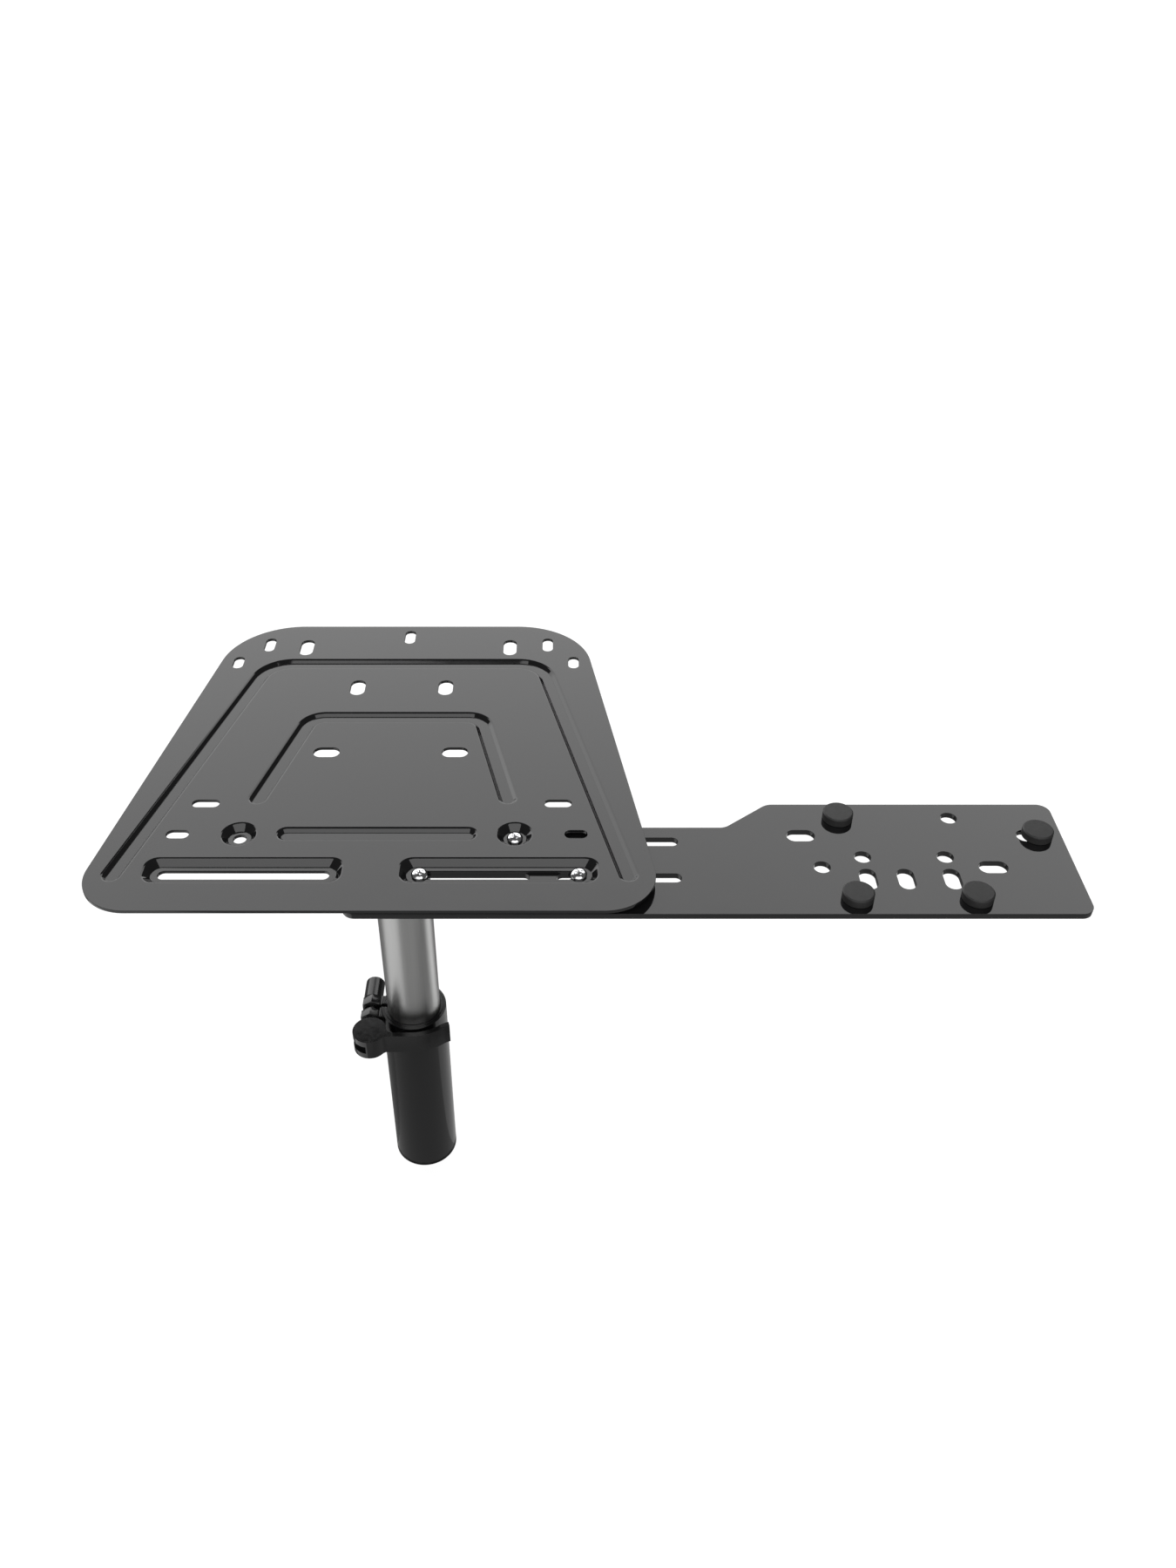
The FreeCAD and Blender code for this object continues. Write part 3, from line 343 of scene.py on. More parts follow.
# %% Dress the nodes
SLOT_OF = {row["node"]: row["material_slot"] for row in frame["record"]["subparts"]}
BODY_OF = {node: body for body, nodes in frame["record"]["behaviour"]["bodies"].items() for node in nodes}
for name, item in frame["nodes"].items():
    item.data.materials.clear()
    item.data.materials.append(FINISHES[SLOT_OF[name]])
print("dressed:", len(SLOT_OF))

# %% [markdown]
# ## Outlines
#
# Everything on the two plates is bounded by lines and arcs that run into each other without a kink: slots,
# round holes, rounded rectangles and the plates' own outlines. One helper turns corners with a radius into a
# loop of points, and each point carries the direction that is square to the edge there. Moving the loop in
# that direction gives a parallel edge, which is what a rounded or pressed edge is made of.

# %% Loops of points with their outward directions
SAME_POINT = 0.001


def rounded_loop(corners, steps=12):
    """Corners (x, y, radius), anticlockwise, as points (x, y, out_x, out_y); an inward corner turns right."""
    loop = []
    count = len(corners)
    for index, (x, y, radius) in enumerate(corners):
        before, after = corners[index - 1], corners[(index + 1) % count]
        arriving = mathutils.Vector((x - before[0], y - before[1])).normalized()
        leaving = mathutils.Vector((after[0] - x, after[1] - y)).normalized()
        turn = math.atan2(arriving.x * leaving.y - arriving.y * leaving.x, arriving.dot(leaving))
        side = 1.0 if turn > 0 else -1.0
        reach = radius * math.tan(abs(turn) / 2)
        start = mathutils.Vector((x, y)) - arriving * reach
        centre = start + mathutils.Vector((-arriving.y, arriving.x)) * radius * side
        heading = math.atan2(arriving.y, arriving.x)
        for step in range(steps + 1):
            angle = heading + turn * step / steps
            out = mathutils.Vector((math.sin(angle), -math.cos(angle)))
            loop.append((*(centre + out * radius * side), *out))
    pairs = zip(loop, loop[1:] + loop[:1])
    return [point for point, after in pairs if math.dist(point[:2], after[:2]) > SAME_POINT]


def rectangle_loop(x, y, a, b, corner):
    """A rounded rectangle with its middle at x and y, of half sizes a and b."""
    corners = [(x - a, y - b), (x + a, y - b), (x + a, y + b), (x - a, y + b)]
    return rounded_loop([(*spot, corner) for spot in corners])


def slot_loop(x, y, length, width, along="X"):
    """A round-ended slot, along X or along Y."""
    reach, half = (length - width) / 2, width / 2
    a, b = (reach + half, half) if along == "X" else (half, reach + half)
    return rectangle_loop(x, y, a, b, half)


def circle_loop(x, y, radius, steps=48):
    turns = [2 * math.pi * step / steps for step in range(steps)]
    return [(x + radius * math.cos(t), y + radius * math.sin(t), math.cos(t), math.sin(t)) for t in turns]


def band_loop(path, steps=14):
    """The closed loop round a path of (x, y, side_x, side_y): one side, a round end, the other side, a round
    end. Moving it outwards by a distance gives a stadium of that half width."""
    loop = []
    for side, way in ((path, 1), (path[::-1], -1)):
        loop += [(x, y, way * sx, way * sy) for x, y, sx, sy in side]
        x, y, sx, sy = loop[-1]
        heading = math.atan2(sy, sx)
        turns = [heading - math.pi * step / steps for step in range(1, steps)]
        loop += [(x, y, math.cos(t), math.sin(t)) for t in turns]
    return loop


print("a slot has", len(slot_loop(0, 0, 18, 8)), "points")

# %% [markdown]
# ## Pressed sheet
#
# A sheet is a top skin and the same skin lower by its thickness, joined by the walls of its cut edges. The
# flats between the pressed forms are filled in one go; the forms and the rounded cut edges are rings of
# points. Each ring has an offset and a height, so a whole cross section is a short list of pairs. Flats keep
# a normal straight up, and only the bends are shaded smooth: reflections then run straight up to each bend.

# %% The sheet builder
CUT_EDGE = 0.14
CUT_STEPS = 4
MERGE_WITHIN, THIN_BELOW = 1e-6, 1e-7


def smooth(mesh):
    for polygon in mesh.polygons:
        polygon.use_smooth = True


class Sheet:
    def __init__(self, top, thick):
        self.bm = bmesh.new()
        self.level = self.bm.faces.layers.int.new("level")
        self.top, self.thick = top, thick

    def ring(self, loop, offset, height):
        """The loop moved outwards by offset, at a height under or over the sheet's top."""
        points = [(x + nx * offset, y - SETBACK + ny * offset, self.top + height) for x, y, nx, ny in loop]
        return [self.bm.verts.new([v * MM for v in point]) for point in points]

    def strip(self, first, second, flat=0):
        """Quads between two rings of as many points."""
        count = len(first)
        for index in range(count):
            after = (index + 1) % count
            corners = [first[index], first[after], second[after], second[index]]
            self.bm.faces.new(corners)[self.level] = flat

    def strips(self, made):
        for first, second in zip(made, made[1:]):
            self.strip(first, second)

    def rings(self, loop, section, floor_to):
        """Rings for each (offset, height) of a section, and a floor on to a last offset, on both skins."""
        for drop in (0.0, -self.thick):
            made = [self.ring(loop, offset, height + drop) for offset, height in section]
            self.strips(made)
            self.strip(made[-1], self.ring(loop, floor_to, section[-1][1] + drop), 1)

    def blend(self, outer, inner, section):
        """Rings between two loops of as many points: each (share, height) lies that share of the way in."""
        for drop in (0.0, -self.thick):
            made = []
            for share, height in section:
                loop = [[p + (q - p) * share for p, q in zip(a, b)] for a, b in zip(outer, inner)]
                made.append(self.ring(loop, 0.0, height + drop))
            self.strips(made)

    def cut(self, loop, height=0.0, outside=False):
        """The wall of a cut edge with both its corners rounded: a hole, or the sheet's own outline."""
        air = 1.0 if outside else -1.0
        upper, lower = [], []
        for step in range(CUT_STEPS + 1):
            turn = math.pi / 2 * step / CUT_STEPS
            back, drop = CUT_EDGE * (1 - math.sin(turn)), CUT_EDGE * (1 - math.cos(turn))
            upper.append((-air * back, height - drop))
            lower.append((-air * back, height - self.thick + drop))
        self.strips([self.ring(loop, offset, z) for offset, z in upper + lower[::-1]])
        return loop, -air * CUT_EDGE

    def fill(self, bounds, height=0.0):
        """The flat inside the first loop and outside the others, each with its offset, on both skins."""
        points, loops = [], []
        for loop, offset in bounds:
            ring = [(x + nx * offset, y + ny * offset) for x, y, nx, ny in loop]
            area = sum(a[0] * b[1] - b[0] * a[1] for a, b in zip(ring, ring[1:] + ring[:1]))
            order = range(len(ring)) if area > 0 else range(len(ring) - 1, -1, -1)
            loops.append([len(points) + k for k in order])
            points += [mathutils.Vector(point) for point in ring]
        made = mathutils.geometry.delaunay_2d_cdt(points, [], loops, 0, SAME_POINT)
        spots, faces, inside = made[0], made[2], made[5]
        for drop in (0.0, -self.thick):
            level = self.top + height + drop
            verts = [self.bm.verts.new((p.x * MM, (p.y - SETBACK) * MM, level * MM)) for p in spots]
            for corners, within in zip(faces, inside):
                if list(within) == [0]:
                    self.bm.faces.new([verts[k] for k in corners])[self.level] = 1

    def finish(self, name, slot, body):
        """One closed mesh, faces outwards, with upright normals on its flats."""
        bmesh.ops.remove_doubles(self.bm, verts=self.bm.verts, dist=MERGE_WITHIN)
        loose = [v for v in self.bm.verts if not v.link_faces]
        bmesh.ops.delete(self.bm, geom=loose, context="VERTS")
        bmesh.ops.dissolve_degenerate(self.bm, dist=THIN_BELOW, edges=self.bm.edges)
        bmesh.ops.recalc_face_normals(self.bm, faces=self.bm.faces)
        if self.bm.calc_volume(signed=True) < 0:
            bmesh.ops.reverse_faces(self.bm, faces=self.bm.faces)
        open_edges = sum(1 for e in self.bm.edges if len(e.link_faces) != 2)
        self.bm.normal_update()
        normals = []
        for vert in self.bm.verts:
            flats = [f for f in vert.link_faces if f[self.level]]
            normals.append(tuple(flats[0].normal if flats else vert.normal))
        mesh = bpy.data.meshes.new(name)
        self.bm.to_mesh(mesh)
        self.bm.free()
        smooth(mesh)
        mesh.normals_split_custom_set_from_vertices(normals)
        return add_piece(name, mesh, slot, body), open_edges


def add_piece(name, mesh, slot, body, *nodes):
    """A finished mesh as an object that rides on a body, takes a slot's finish and stands for some nodes."""
    piece = bpy.data.objects.new(name, mesh)
    bpy.context.scene.collection.objects.link(piece)
    mesh.materials.clear()
    mesh.materials.append(FINISHES[slot])
    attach(piece, body)
    if nodes:
        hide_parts(*nodes)
    return piece


def bend_section(depth, slope, shoulder, foot, steps=5):
    """The section of a pressed wall as (way in, height) from the flat to the floor: a rounded shoulder, a
    straight wall at a slope in degrees, and a rounded foot."""
    turn = math.radians(slope)
    points = []
    for step in range(steps + 1):
        t = turn * step / steps
        points.append((shoulder * math.sin(t), -shoulder * (1 - math.cos(t))))
    run = (depth - (shoulder + foot) * (1 - math.cos(turn))) / math.tan(turn)
    x = points[-1][0] + run
    for step in range(steps + 1):
        t = turn * (1 - step / steps)
        points.append((x + foot * (math.sin(turn) - math.sin(t)), -depth + foot * (1 - math.cos(t))))
    return points


print("a pressed wall has", len(bend_section(2.5, 45, 2.0, 0.8)), "rings")

# %% [markdown]
# ## The wheel plate
#
# The large plate is 2.2 mm sheet with two U-shaped channels, a short cross channel, two long dishes with a
# slot and two round dishes with a hole. The channels stiffen it, and the dishes stand it off from the
# shifter plate. All of it is symmetric about the middle, so each form is drawn once and its mirror image
# takes the same numbers with x turned round.

# %% The channels' middle lines
def u_path(back, knee, corner, end_x, end_y, steps=14):
    """The middle line of a U-shaped channel from its left end to its right end, with the side direction."""
    lean = math.atan2(back - end_y, end_x - knee)
    run = corner * math.tan(lean / 2)
    half = [(0.0, back, 0.0, 1.0)]
    for step in range(steps + 1):
        t = math.pi / 2 - lean * step / steps
        sx, sy = math.cos(t), math.sin(t)
        half.append((knee - run + corner * sx, back - corner + corner * sy, sx, sy))
    half.append((end_x, end_y, math.cos(math.pi / 2 - lean), math.sin(math.pi / 2 - lean)))
    left = [(-x, y, -sx, sy) for x, y, sx, sy in reversed(half[1:])]
    return left + half


CHANNELS = {
    "outer": u_path(back=267.0, knee=101.9, corner=22.5, end_x=157.3, end_y=32.0),
    "inner": u_path(back=197.4, knee=60.1, corner=12.5, end_x=81.5, end_y=106.5),
    "cross": [(x, 70.2, 0.0, 1.0) for x in (-57.1, 0.0, 57.1)],
}
CHANNEL_HALF = 6.95
CHANNEL_WALL = bend_section(depth=2.5, slope=45.0, shoulder=2.3, foot=0.7)
CHANNEL_SECTION = [(CHANNEL_HALF - x, z) for x, z in CHANNEL_WALL]
print("channel floor is", round(2 * CHANNEL_SECTION[-1][0], 2), "mm wide")

# %% The plate's outline, channels and slots
plate = Sheet(PLATE_TOP, PLATE_THICK)
PLATE_CORNERS = [(-179.07, 0.01, 32), (179.07, 0.01, 32), (130.88, 320.18, 56), (-130.88, 320.18, 56)]
bounds = [plate.cut(rounded_loop(PLATE_CORNERS, steps=28), outside=True)]
for path in CHANNELS.values():
    loop = band_loop(path)
    plate.rings(loop, CHANNEL_SECTION, floor_to=0.0)
    bounds.append((loop, CHANNEL_HALF))

PLATE_SLOTS = [
    (0, 304.4, 18.0, 8.0, "Y"),
    (77.3, 289.6, 21.0, 10.0, "Y"),
    (106.0, 293.4, 18.0, 7.8, "Y"),
    (125.5, 268.6, 15.3, 7.8, "Y"),
    (32.0, 235.0, 18.8, 10.7, "Y"),
    (43.8, 156.2, 18.0, 10.9),
    (114.3, 100.6, 17.9, 7.6),
    (125.7, 69.7, 14.5, 8.0),
]
for x, *form in PLATE_SLOTS:
    for place in {x, -x}:
        bounds.append(plate.cut(slot_loop(place, *form)))
print("loops on the plate:", len(bounds))

# %% [markdown]
# A dish is pressed deeper than a channel, so its wall blends between two drawn outlines, rim and foot, and
# doesn't follow a middle line. Its floor is a small sheet of its own with the slot or hole cut in it. The
# long dish's foot is nearly a stadium: a corner radius has to stay below half the side it rounds.

# %% The plate's dishes
ROUND_DISH_AT, ROUND_DISH_R, DISH_HOLE_R = (87.0, 70.0), 11.9, 4.2
LONG_DISH_AT, LONG_DISH, LONG_DISH_CORNER = (78.3, 36.0), (123.2, 23.8), 8.4
DISH_SLOT = (105.4, 7.8)
FOOT_ROOM = 0.05
DISH_WALL = bend_section(DISH_DEPTH, slope=47.0, shoulder=1.7, foot=0.6)
dish_run = DISH_WALL[-1][0]


def press_dish(rim, foot, cut_loop):
    plate.blend(rim, foot, [(x / dish_run, z) for x, z in DISH_WALL])
    bounds.append((rim, 0.0))
    opening = plate.cut(cut_loop, -DISH_DEPTH)
    plate.fill([(foot, 0.0), opening], -DISH_DEPTH)


for side in (-1, 1):
    x, y = side * ROUND_DISH_AT[0], ROUND_DISH_AT[1]
    rim, foot, hole = (circle_loop(x, y, r) for r in (ROUND_DISH_R, ROUND_DISH_R - dish_run, DISH_HOLE_R))
    press_dish(rim, foot, hole)
    x, y = side * LONG_DISH_AT[0], LONG_DISH_AT[1]
    rim = rectangle_loop(x, y, LONG_DISH[0] / 2, LONG_DISH[1] / 2, LONG_DISH_CORNER)
    a, b = ((size - 2 * dish_run) / 2 for size in LONG_DISH)
    press_dish(rim, rectangle_loop(x, y, a, b, b - FOOT_ROOM), slot_loop(x, y, *DISH_SLOT))
print("dish wall runs in", round(dish_run, 2), "mm")

# %% Fill the flats and close the wheel plate
plate.fill(bounds)
wheel_plate, gaps = plate.finish("pressed_wheel_plate", "plate_gloss", "deck")
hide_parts("wheel_plate")
print("wheel plate:", len(wheel_plate.data.polygons), "faces, open edges:", gaps)

# %% [markdown]
# ## The shifter plate
#
# The long plate is 4 mm steel, cut flat: no pressed forms, but many holes with lightly rounded edges. It
# steps back behind the wheel plate's corner, and two rows of rails let it slide on its three screws. It is
# drawn a hundredth thinner on each face, so that the sliding faces lie close and never in the same plane.

# %% Cut the shifter plate
SLIDING_FIT = 0.01
HOLE_R = 5.3
flat = Sheet(SHIFTER_TOP - SLIDING_FIT, SHIFTER_THICK - 2 * SLIDING_FIT)
SHIFTER_CORNERS = [(-15, 4, 8), (435, 4, 8), (435, 107.5, 8)]
SHIFTER_CORNERS += [(250.6, 107.5, 10), (221.3, 84, 10), (-15, 84, 8)]
SHIFTER_SLOTS = [
    (58.5, 36, 77, 8),
    (151.9, 36, 77, 8),
    (131.1, 70, 118.4, 8),
    (268.8, 76, 18.2, 10.9),
    (384.0, 45.9, 18.2, 10.9),
    (415.3, 76.0, 18.2, 10.9),
    (304.6, 35, 18.4, 10.6, "Y"),
    (327.9, 35, 18.4, 10.6, "Y"),
    (356.2, 35, 18.4, 10.6, "Y"),
]
BUMPER_PLACES = [(295.0, 18.0), (295.0, 93.5), (367.1, 18.0), (419.15, 76.0)]
SHIFTER_HOLES = [(277.9, 45.9), (304.6, 55.4), (356.3, 55.4), (367.1, 93.5)] + BUMPER_PLACES[:3]
bounds = [flat.cut(rounded_loop(SHIFTER_CORNERS, steps=14), outside=True)]
bounds += [flat.cut(slot_loop(*slot)) for slot in SHIFTER_SLOTS]
bounds += [flat.cut(circle_loop(x, y, HOLE_R)) for x, y in SHIFTER_HOLES]
flat.fill(bounds)
shifter_plate, gaps = flat.finish("flat_shifter_plate", "plate_gloss", "shifter")
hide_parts("shifter_plate")
print("shifter plate:", len(shifter_plate.data.polygons), "faces, open edges:", gaps)

# %% [markdown]
# ## Turned pieces
#
# The post, its flange, the bumpers, the screw heads and the washers are all round, so each is a profile
# turned about an axis. The same corner helper draws the profile, as (radius, height, rounding), and its
# outward directions become exact normals: a turned piece then shades as smoothly as a lathe leaves it. A
# blank that is cut or joined further is turned without normals of its own.

# %% Turn a profile
ON_AXIS = 1e-4


def mesh_of(name, points, faces=()):
    """A mesh in metres from points in millimetres."""
    mesh = bpy.data.meshes.new(name)
    mesh.from_pydata([[v * MM for v in point] for point in points], [], faces)
    return mesh


def turned(corners, segments, steps=4):
    """Points, faces and normals of a profile of (r, z, rounding), anticlockwise, turned about the Z axis."""
    points, faces, normals, rings = [], [], [], []
    for r, z, out_r, out_z in rounded_loop(corners, steps):
        single = r < ON_AXIS
        count = 1 if single else segments
        rings.append([len(points) + k for k in range(count)])
        for k in range(count):
            t = 2 * math.pi * k / segments
            points.append((r * math.cos(t), r * math.sin(t), z))
            upright = (0.0, 0.0, math.copysign(1.0, out_z))
            normals.append(upright if single else (out_r * math.cos(t), out_r * math.sin(t), out_z))
    for first, second in zip(rings, rings[1:] + rings[:1]):
        if len(first) == len(second) == 1:
            continue
        for k in range(segments):
            lower = [first[i % len(first)] for i in (k, k + 1)]
            upper = [second[i % len(second)] for i in (k + 1, k)]
            faces.append(tuple(dict.fromkeys(lower + upper)))
    return points, faces, normals


def turned_mesh(name, corners, place=(0, 0, 0), segments=64):
    """A turned profile with its exact normals, moved to a place."""
    points, faces, normals = turned(corners, segments)
    mesh = mesh_of(name, [[p + q for p, q in zip(point, place)] for point in points], faces)
    smooth(mesh)
    mesh.normals_split_custom_set_from_vertices(normals)
    return mesh


def turned_blank(name, corners, segments, steps):
    points, faces, _ = turned(corners, segments, steps)
    return mesh_of(name, points, faces)


print("turning helpers ready")

# %% The post and its flange
POST_WALL, FLANGE_THICK = 2.0, 3.0
POST_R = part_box("post")[1].x / MM
POST_BORE = POST_R - POST_WALL
POST_FOOT, POST_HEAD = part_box("post")[0].z / MM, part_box("post")[1].z / MM
FLANGE_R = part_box("post_flange")[1].x / MM
FLANGE_TOP = POST_HEAD + FLANGE_THICK
profile = [(POST_BORE, POST_FOOT, 0.4), (POST_R, POST_FOOT, 0.6)]
profile += [(POST_R, POST_HEAD, 0.2), (POST_BORE, POST_HEAD, 0.2)]
add_piece("drawn_post", turned_mesh("drawn_post", profile, segments=160), "post_steel", "deck", "post")
profile = [(0, POST_HEAD, 0), (FLANGE_R, POST_HEAD, 0.5), (FLANGE_R, FLANGE_TOP, 0.5), (0, FLANGE_TOP, 0)]
flange_mesh = turned_mesh("post_head_flange", profile, segments=120)
add_piece("post_head_flange", flange_mesh, "frame_black", "deck", "post_flange")
print("post radius", round(POST_R, 2), "from", round(POST_FOOT, 1), "to", round(POST_HEAD, 1))

# %% [markdown]
# ## Copies by Geometry Nodes
#
# Four bumpers, three screws, three washers and three nuts are each one piece in several places. A small node
# tree puts the piece on a set of points, turns each copy a little by a fixed seed, as a hand would leave it,
# makes the copies real and gives them their finish. What comes out is baked to one plain mesh.

# %% Start a node tree
def new_tree(name, inputs, output):
    """A geometry tree with named inputs and one output, and the two nodes that stand for them."""
    tree = bpy.data.node_groups.new(name, "GeometryNodeTree")
    for label, kind in inputs.items():
        tree.interface.new_socket(label, in_out="INPUT", socket_type="NodeSocket" + kind)
    tree.interface.new_socket(output, in_out="OUTPUT", socket_type="NodeSocketGeometry")
    return tree, tree.nodes.new("NodeGroupInput"), tree.nodes.new("NodeGroupOutput")


def coated(tree, given, made, source):
    """Make a geometry real, give it the finish and send it to the tree's output."""
    real = tree.nodes.new("GeometryNodeRealizeInstances")
    tree.links.new(source, real.inputs["Geometry"])
    coat = tree.nodes.new("GeometryNodeSetMaterial")
    tree.links.new(real.outputs["Geometry"], coat.inputs["Geometry"])
    tree.links.new(given.outputs["Finish"], coat.inputs["Material"])
    tree.links.new(coat.outputs["Geometry"], made.inputs[0])


print("tree helpers ready")

# %% The node tree that places copies
inputs = {"Places": "Geometry", "Piece": "Object", "Finish": "Material", "Turn": "Float", "Seed": "Int"}
COPIES, given, made = new_tree("place_copies", inputs, "Copies")
nodes, links = COPIES.nodes, COPIES.links
source = nodes.new("GeometryNodeObjectInfo")
links.new(given.outputs["Piece"], source.inputs["Object"])
least = nodes.new("ShaderNodeMath")
least.operation = "MULTIPLY"
least.inputs[1].default_value = -1.0
links.new(given.outputs["Turn"], least.inputs[0])
chance = nodes.new("FunctionNodeRandomValue")
links.new(least.outputs[0], chance.inputs[2])
links.new(given.outputs["Turn"], chance.inputs[3])
links.new(given.outputs["Seed"], chance.inputs["Seed"])
spin = nodes.new("ShaderNodeCombineXYZ")
links.new(chance.outputs[1], spin.inputs["Z"])
put = nodes.new("GeometryNodeInstanceOnPoints")
links.new(given.outputs["Places"], put.inputs["Points"])
links.new(source.outputs["Geometry"], put.inputs["Instance"])
links.new(spin.outputs["Vector"], put.inputs["Rotation"])
coated(COPIES, given, made, put.outputs["Instances"])
print("inputs:", sorted(inputs))

# %% Bake a node tree to a plain mesh
def baked(source):
    """The object's mesh with its modifiers applied; the object itself is thrown away."""
    bpy.context.view_layer.update()
    graph = bpy.context.evaluated_depsgraph_get()
    seen = source.evaluated_get(graph)
    mesh = bpy.data.meshes.new_from_object(seen, preserve_all_data_layers=True, depsgraph=graph)
    bpy.data.objects.remove(source)
    return mesh


def loose_object(name, mesh):
    made = bpy.data.objects.new(name, mesh)
    bpy.context.scene.collection.objects.link(made)
    return made


def grown(name, mesh, tree, values):
    """What a node tree makes of a mesh, with values for its named inputs."""
    carrier = loose_object(name, mesh)
    modifier = carrier.modifiers.new(name, "NODES")
    modifier.node_group = tree
    for label, value in values.items():
        modifier[tree.interface.items_tree[label].identifier] = value
    return baked(carrier)


def place_copies(name, mesh, places, slot, body, nodes, turn, seed):
    """One mesh on several places in millimetres, as one finished piece for the nodes it stands for."""
    pattern = loose_object(name + "_pattern", mesh)
    values = {"Piece": pattern, "Finish": FINISHES[slot], "Turn": math.radians(turn), "Seed": seed}
    result = grown(name + "_carrier", mesh_of(name + "_places", places), COPIES, values)
    bpy.data.objects.remove(pattern)
    add_piece(name, result, slot, body, *nodes)
    print(name, len(result.polygons), "faces for", len(places), "places")


print("copy helper ready")

# %% [markdown]
# ## Bumpers
#
# The four rubber bumpers are pushed through holes in the shifter plate. Each has a slightly domed top, a soft
# shoulder, and a stem that shows below the plate with a barb that keeps it in.

# %% Turn one bumper and place four
STEM = [(0, -6.0, 0), (4.2, -6.0, 0.4), (5.1, -4.6, 0.4), (4.9, -4.05, 0.2), (4.9, 0.02, 0.05)]
HEAD = [(9.3, 0.02, 0.15), (9.69, 0.4, 0.2), (9.69, 5.05, 0.25), (8.9, 5.8, 0.25), (0, 5.89, 0)]
bumper_mesh = turned_mesh("bumper", STEM + HEAD, segments=72)
spots = [(x, y - SETBACK, SHIFTER_TOP) for x, y in BUMPER_PLACES]
nodes = [f"bumper_{k}" for k in range(1, 5)]
place_copies("rubber_bumpers", bumper_mesh, spots, "bumper_rubber", "shifter", nodes, turn=180, seed=4)

# %% [markdown]
# ## Screws, washers and nuts
#
# Three chromed pan-head screws hold the two plates together. The head is a shallow dome with a cross recess:
# a turned dome with two tapered bars cut out of it, and then a fine rounding along every cut edge. The thread
# follows a helix, so it is made by a node tree that sweeps a small triangle along a spiral.

# %% Cut and round a solid
def prism(name, bottom, top):
    """A closed solid between two rings of as many points."""
    count = len(bottom)
    faces = [tuple(range(count - 1, -1, -1)), tuple(range(count, 2 * count))]
    faces += [(k, (k + 1) % count, count + (k + 1) % count, count + k) for k in range(count)]
    return mesh_of(name, bottom + top, faces)


def rounded_edges(source, width, steps=2, angle=38.0):
    """Round an object's sharp edges by a width in millimetres, with clean shading on its flats."""
    bevel = source.modifiers.new("edge", "BEVEL")
    bevel.width = width * MM
    bevel.segments = steps
    bevel.angle_limit = math.radians(angle)
    smooth(source.data)
    shading = source.modifiers.new("shading", "WEIGHTED_NORMAL")
    shading.keep_sharp = True
    shading.weight = 100


def machined(name, mesh, tools=(), operation="DIFFERENCE", **rounding):
    """A mesh with other meshes cut out of it, crossed with it or added to it, and then its edges rounded."""
    source = loose_object(name, mesh)
    held = [loose_object(tool.name, tool) for tool in tools]
    for tool in held:
        step = source.modifiers.new("cut", "BOOLEAN")
        step.operation = operation
        step.object = tool
    if rounding:
        rounded_edges(source, **rounding)
    result = baked(source)
    for tool in held:
        bpy.data.objects.remove(tool)
    return result


print("cutting helpers ready")

# %% The screw's head with its recess
def tapered_bar(angle):
    """One bar of the recess, wider at the top, turned by an angle in degrees."""
    ends = []
    for a, b, z in ((1.8, 0.45, 1.2), (3.6, 0.85, 3.6)):
        ends.append([(-a, -b, z), (a, -b, z), (a, b, z), (-a, b, z)])
    bar = prism("bar", *ends)
    bar.transform(mathutils.Matrix.Rotation(math.radians(angle), 4, "Z"))
    return bar


head_profile = [(0, 0.0, 0), (5.1, 0.0, 0.25), (5.12, 1.15, 0.35), (3.9, 2.5, 3.0), (0, 3.38, 0)]
head_mesh = turned_blank("screw_head", head_profile, 48, 5)
head_mesh = machined("screw_head", head_mesh, [tapered_bar(28.0), tapered_bar(118.0)], width=0.1)
print("screw head:", len(head_mesh.polygons), "faces")

# %% The node tree that sweeps a thread
inputs = {"Radius": "Float", "Length": "Float", "Turns": "Float", "Ridge": "Float", "Finish": "Material"}
THREAD, given, made = new_tree("screw_thread", inputs, "Thread")
nodes, links = THREAD.nodes, THREAD.links
helix = nodes.new("GeometryNodeCurveSpiral")
helix.inputs["Resolution"].default_value = 28
links.new(given.outputs["Turns"], helix.inputs["Rotations"])
links.new(given.outputs["Radius"], helix.inputs["Start Radius"])
links.new(given.outputs["Radius"], helix.inputs["End Radius"])
links.new(given.outputs["Length"], helix.inputs["Height"])
upright = nodes.new("GeometryNodeSetCurveNormal")
upright.mode = "Z_UP"
links.new(helix.outputs["Curve"], upright.inputs["Curve"])
ridge = nodes.new("GeometryNodeCurvePrimitiveCircle")
ridge.inputs["Resolution"].default_value = 3
links.new(given.outputs["Ridge"], ridge.inputs["Radius"])
sweep = nodes.new("GeometryNodeCurveToMesh")
sweep.inputs["Fill Caps"].default_value = True
links.new(upright.outputs["Curve"], sweep.inputs["Curve"])
links.new(ridge.outputs["Curve"], sweep.inputs["Profile Curve"])
coated(THREAD, given, made, sweep.outputs["Mesh"])
print("inputs:", sorted(inputs))

# %% Grow the thread
THREAD_FOOT = -15.3
values = {"Radius": 2.66 * MM, "Length": 14.0 * MM, "Turns": 14.0, "Ridge": 0.33 * MM}
values["Finish"] = FINISHES["screw_chrome"]
thread_mesh = grown("thread_carrier", bpy.data.meshes.new("thread_carrier"), THREAD, values)
thread_mesh.transform(mathutils.Matrix.Translation((0, 0, THREAD_FOOT * MM)))
print("thread:", len(thread_mesh.polygons), "faces")

# %% Join head, shank and thread, and place three screws
CREASE = 38


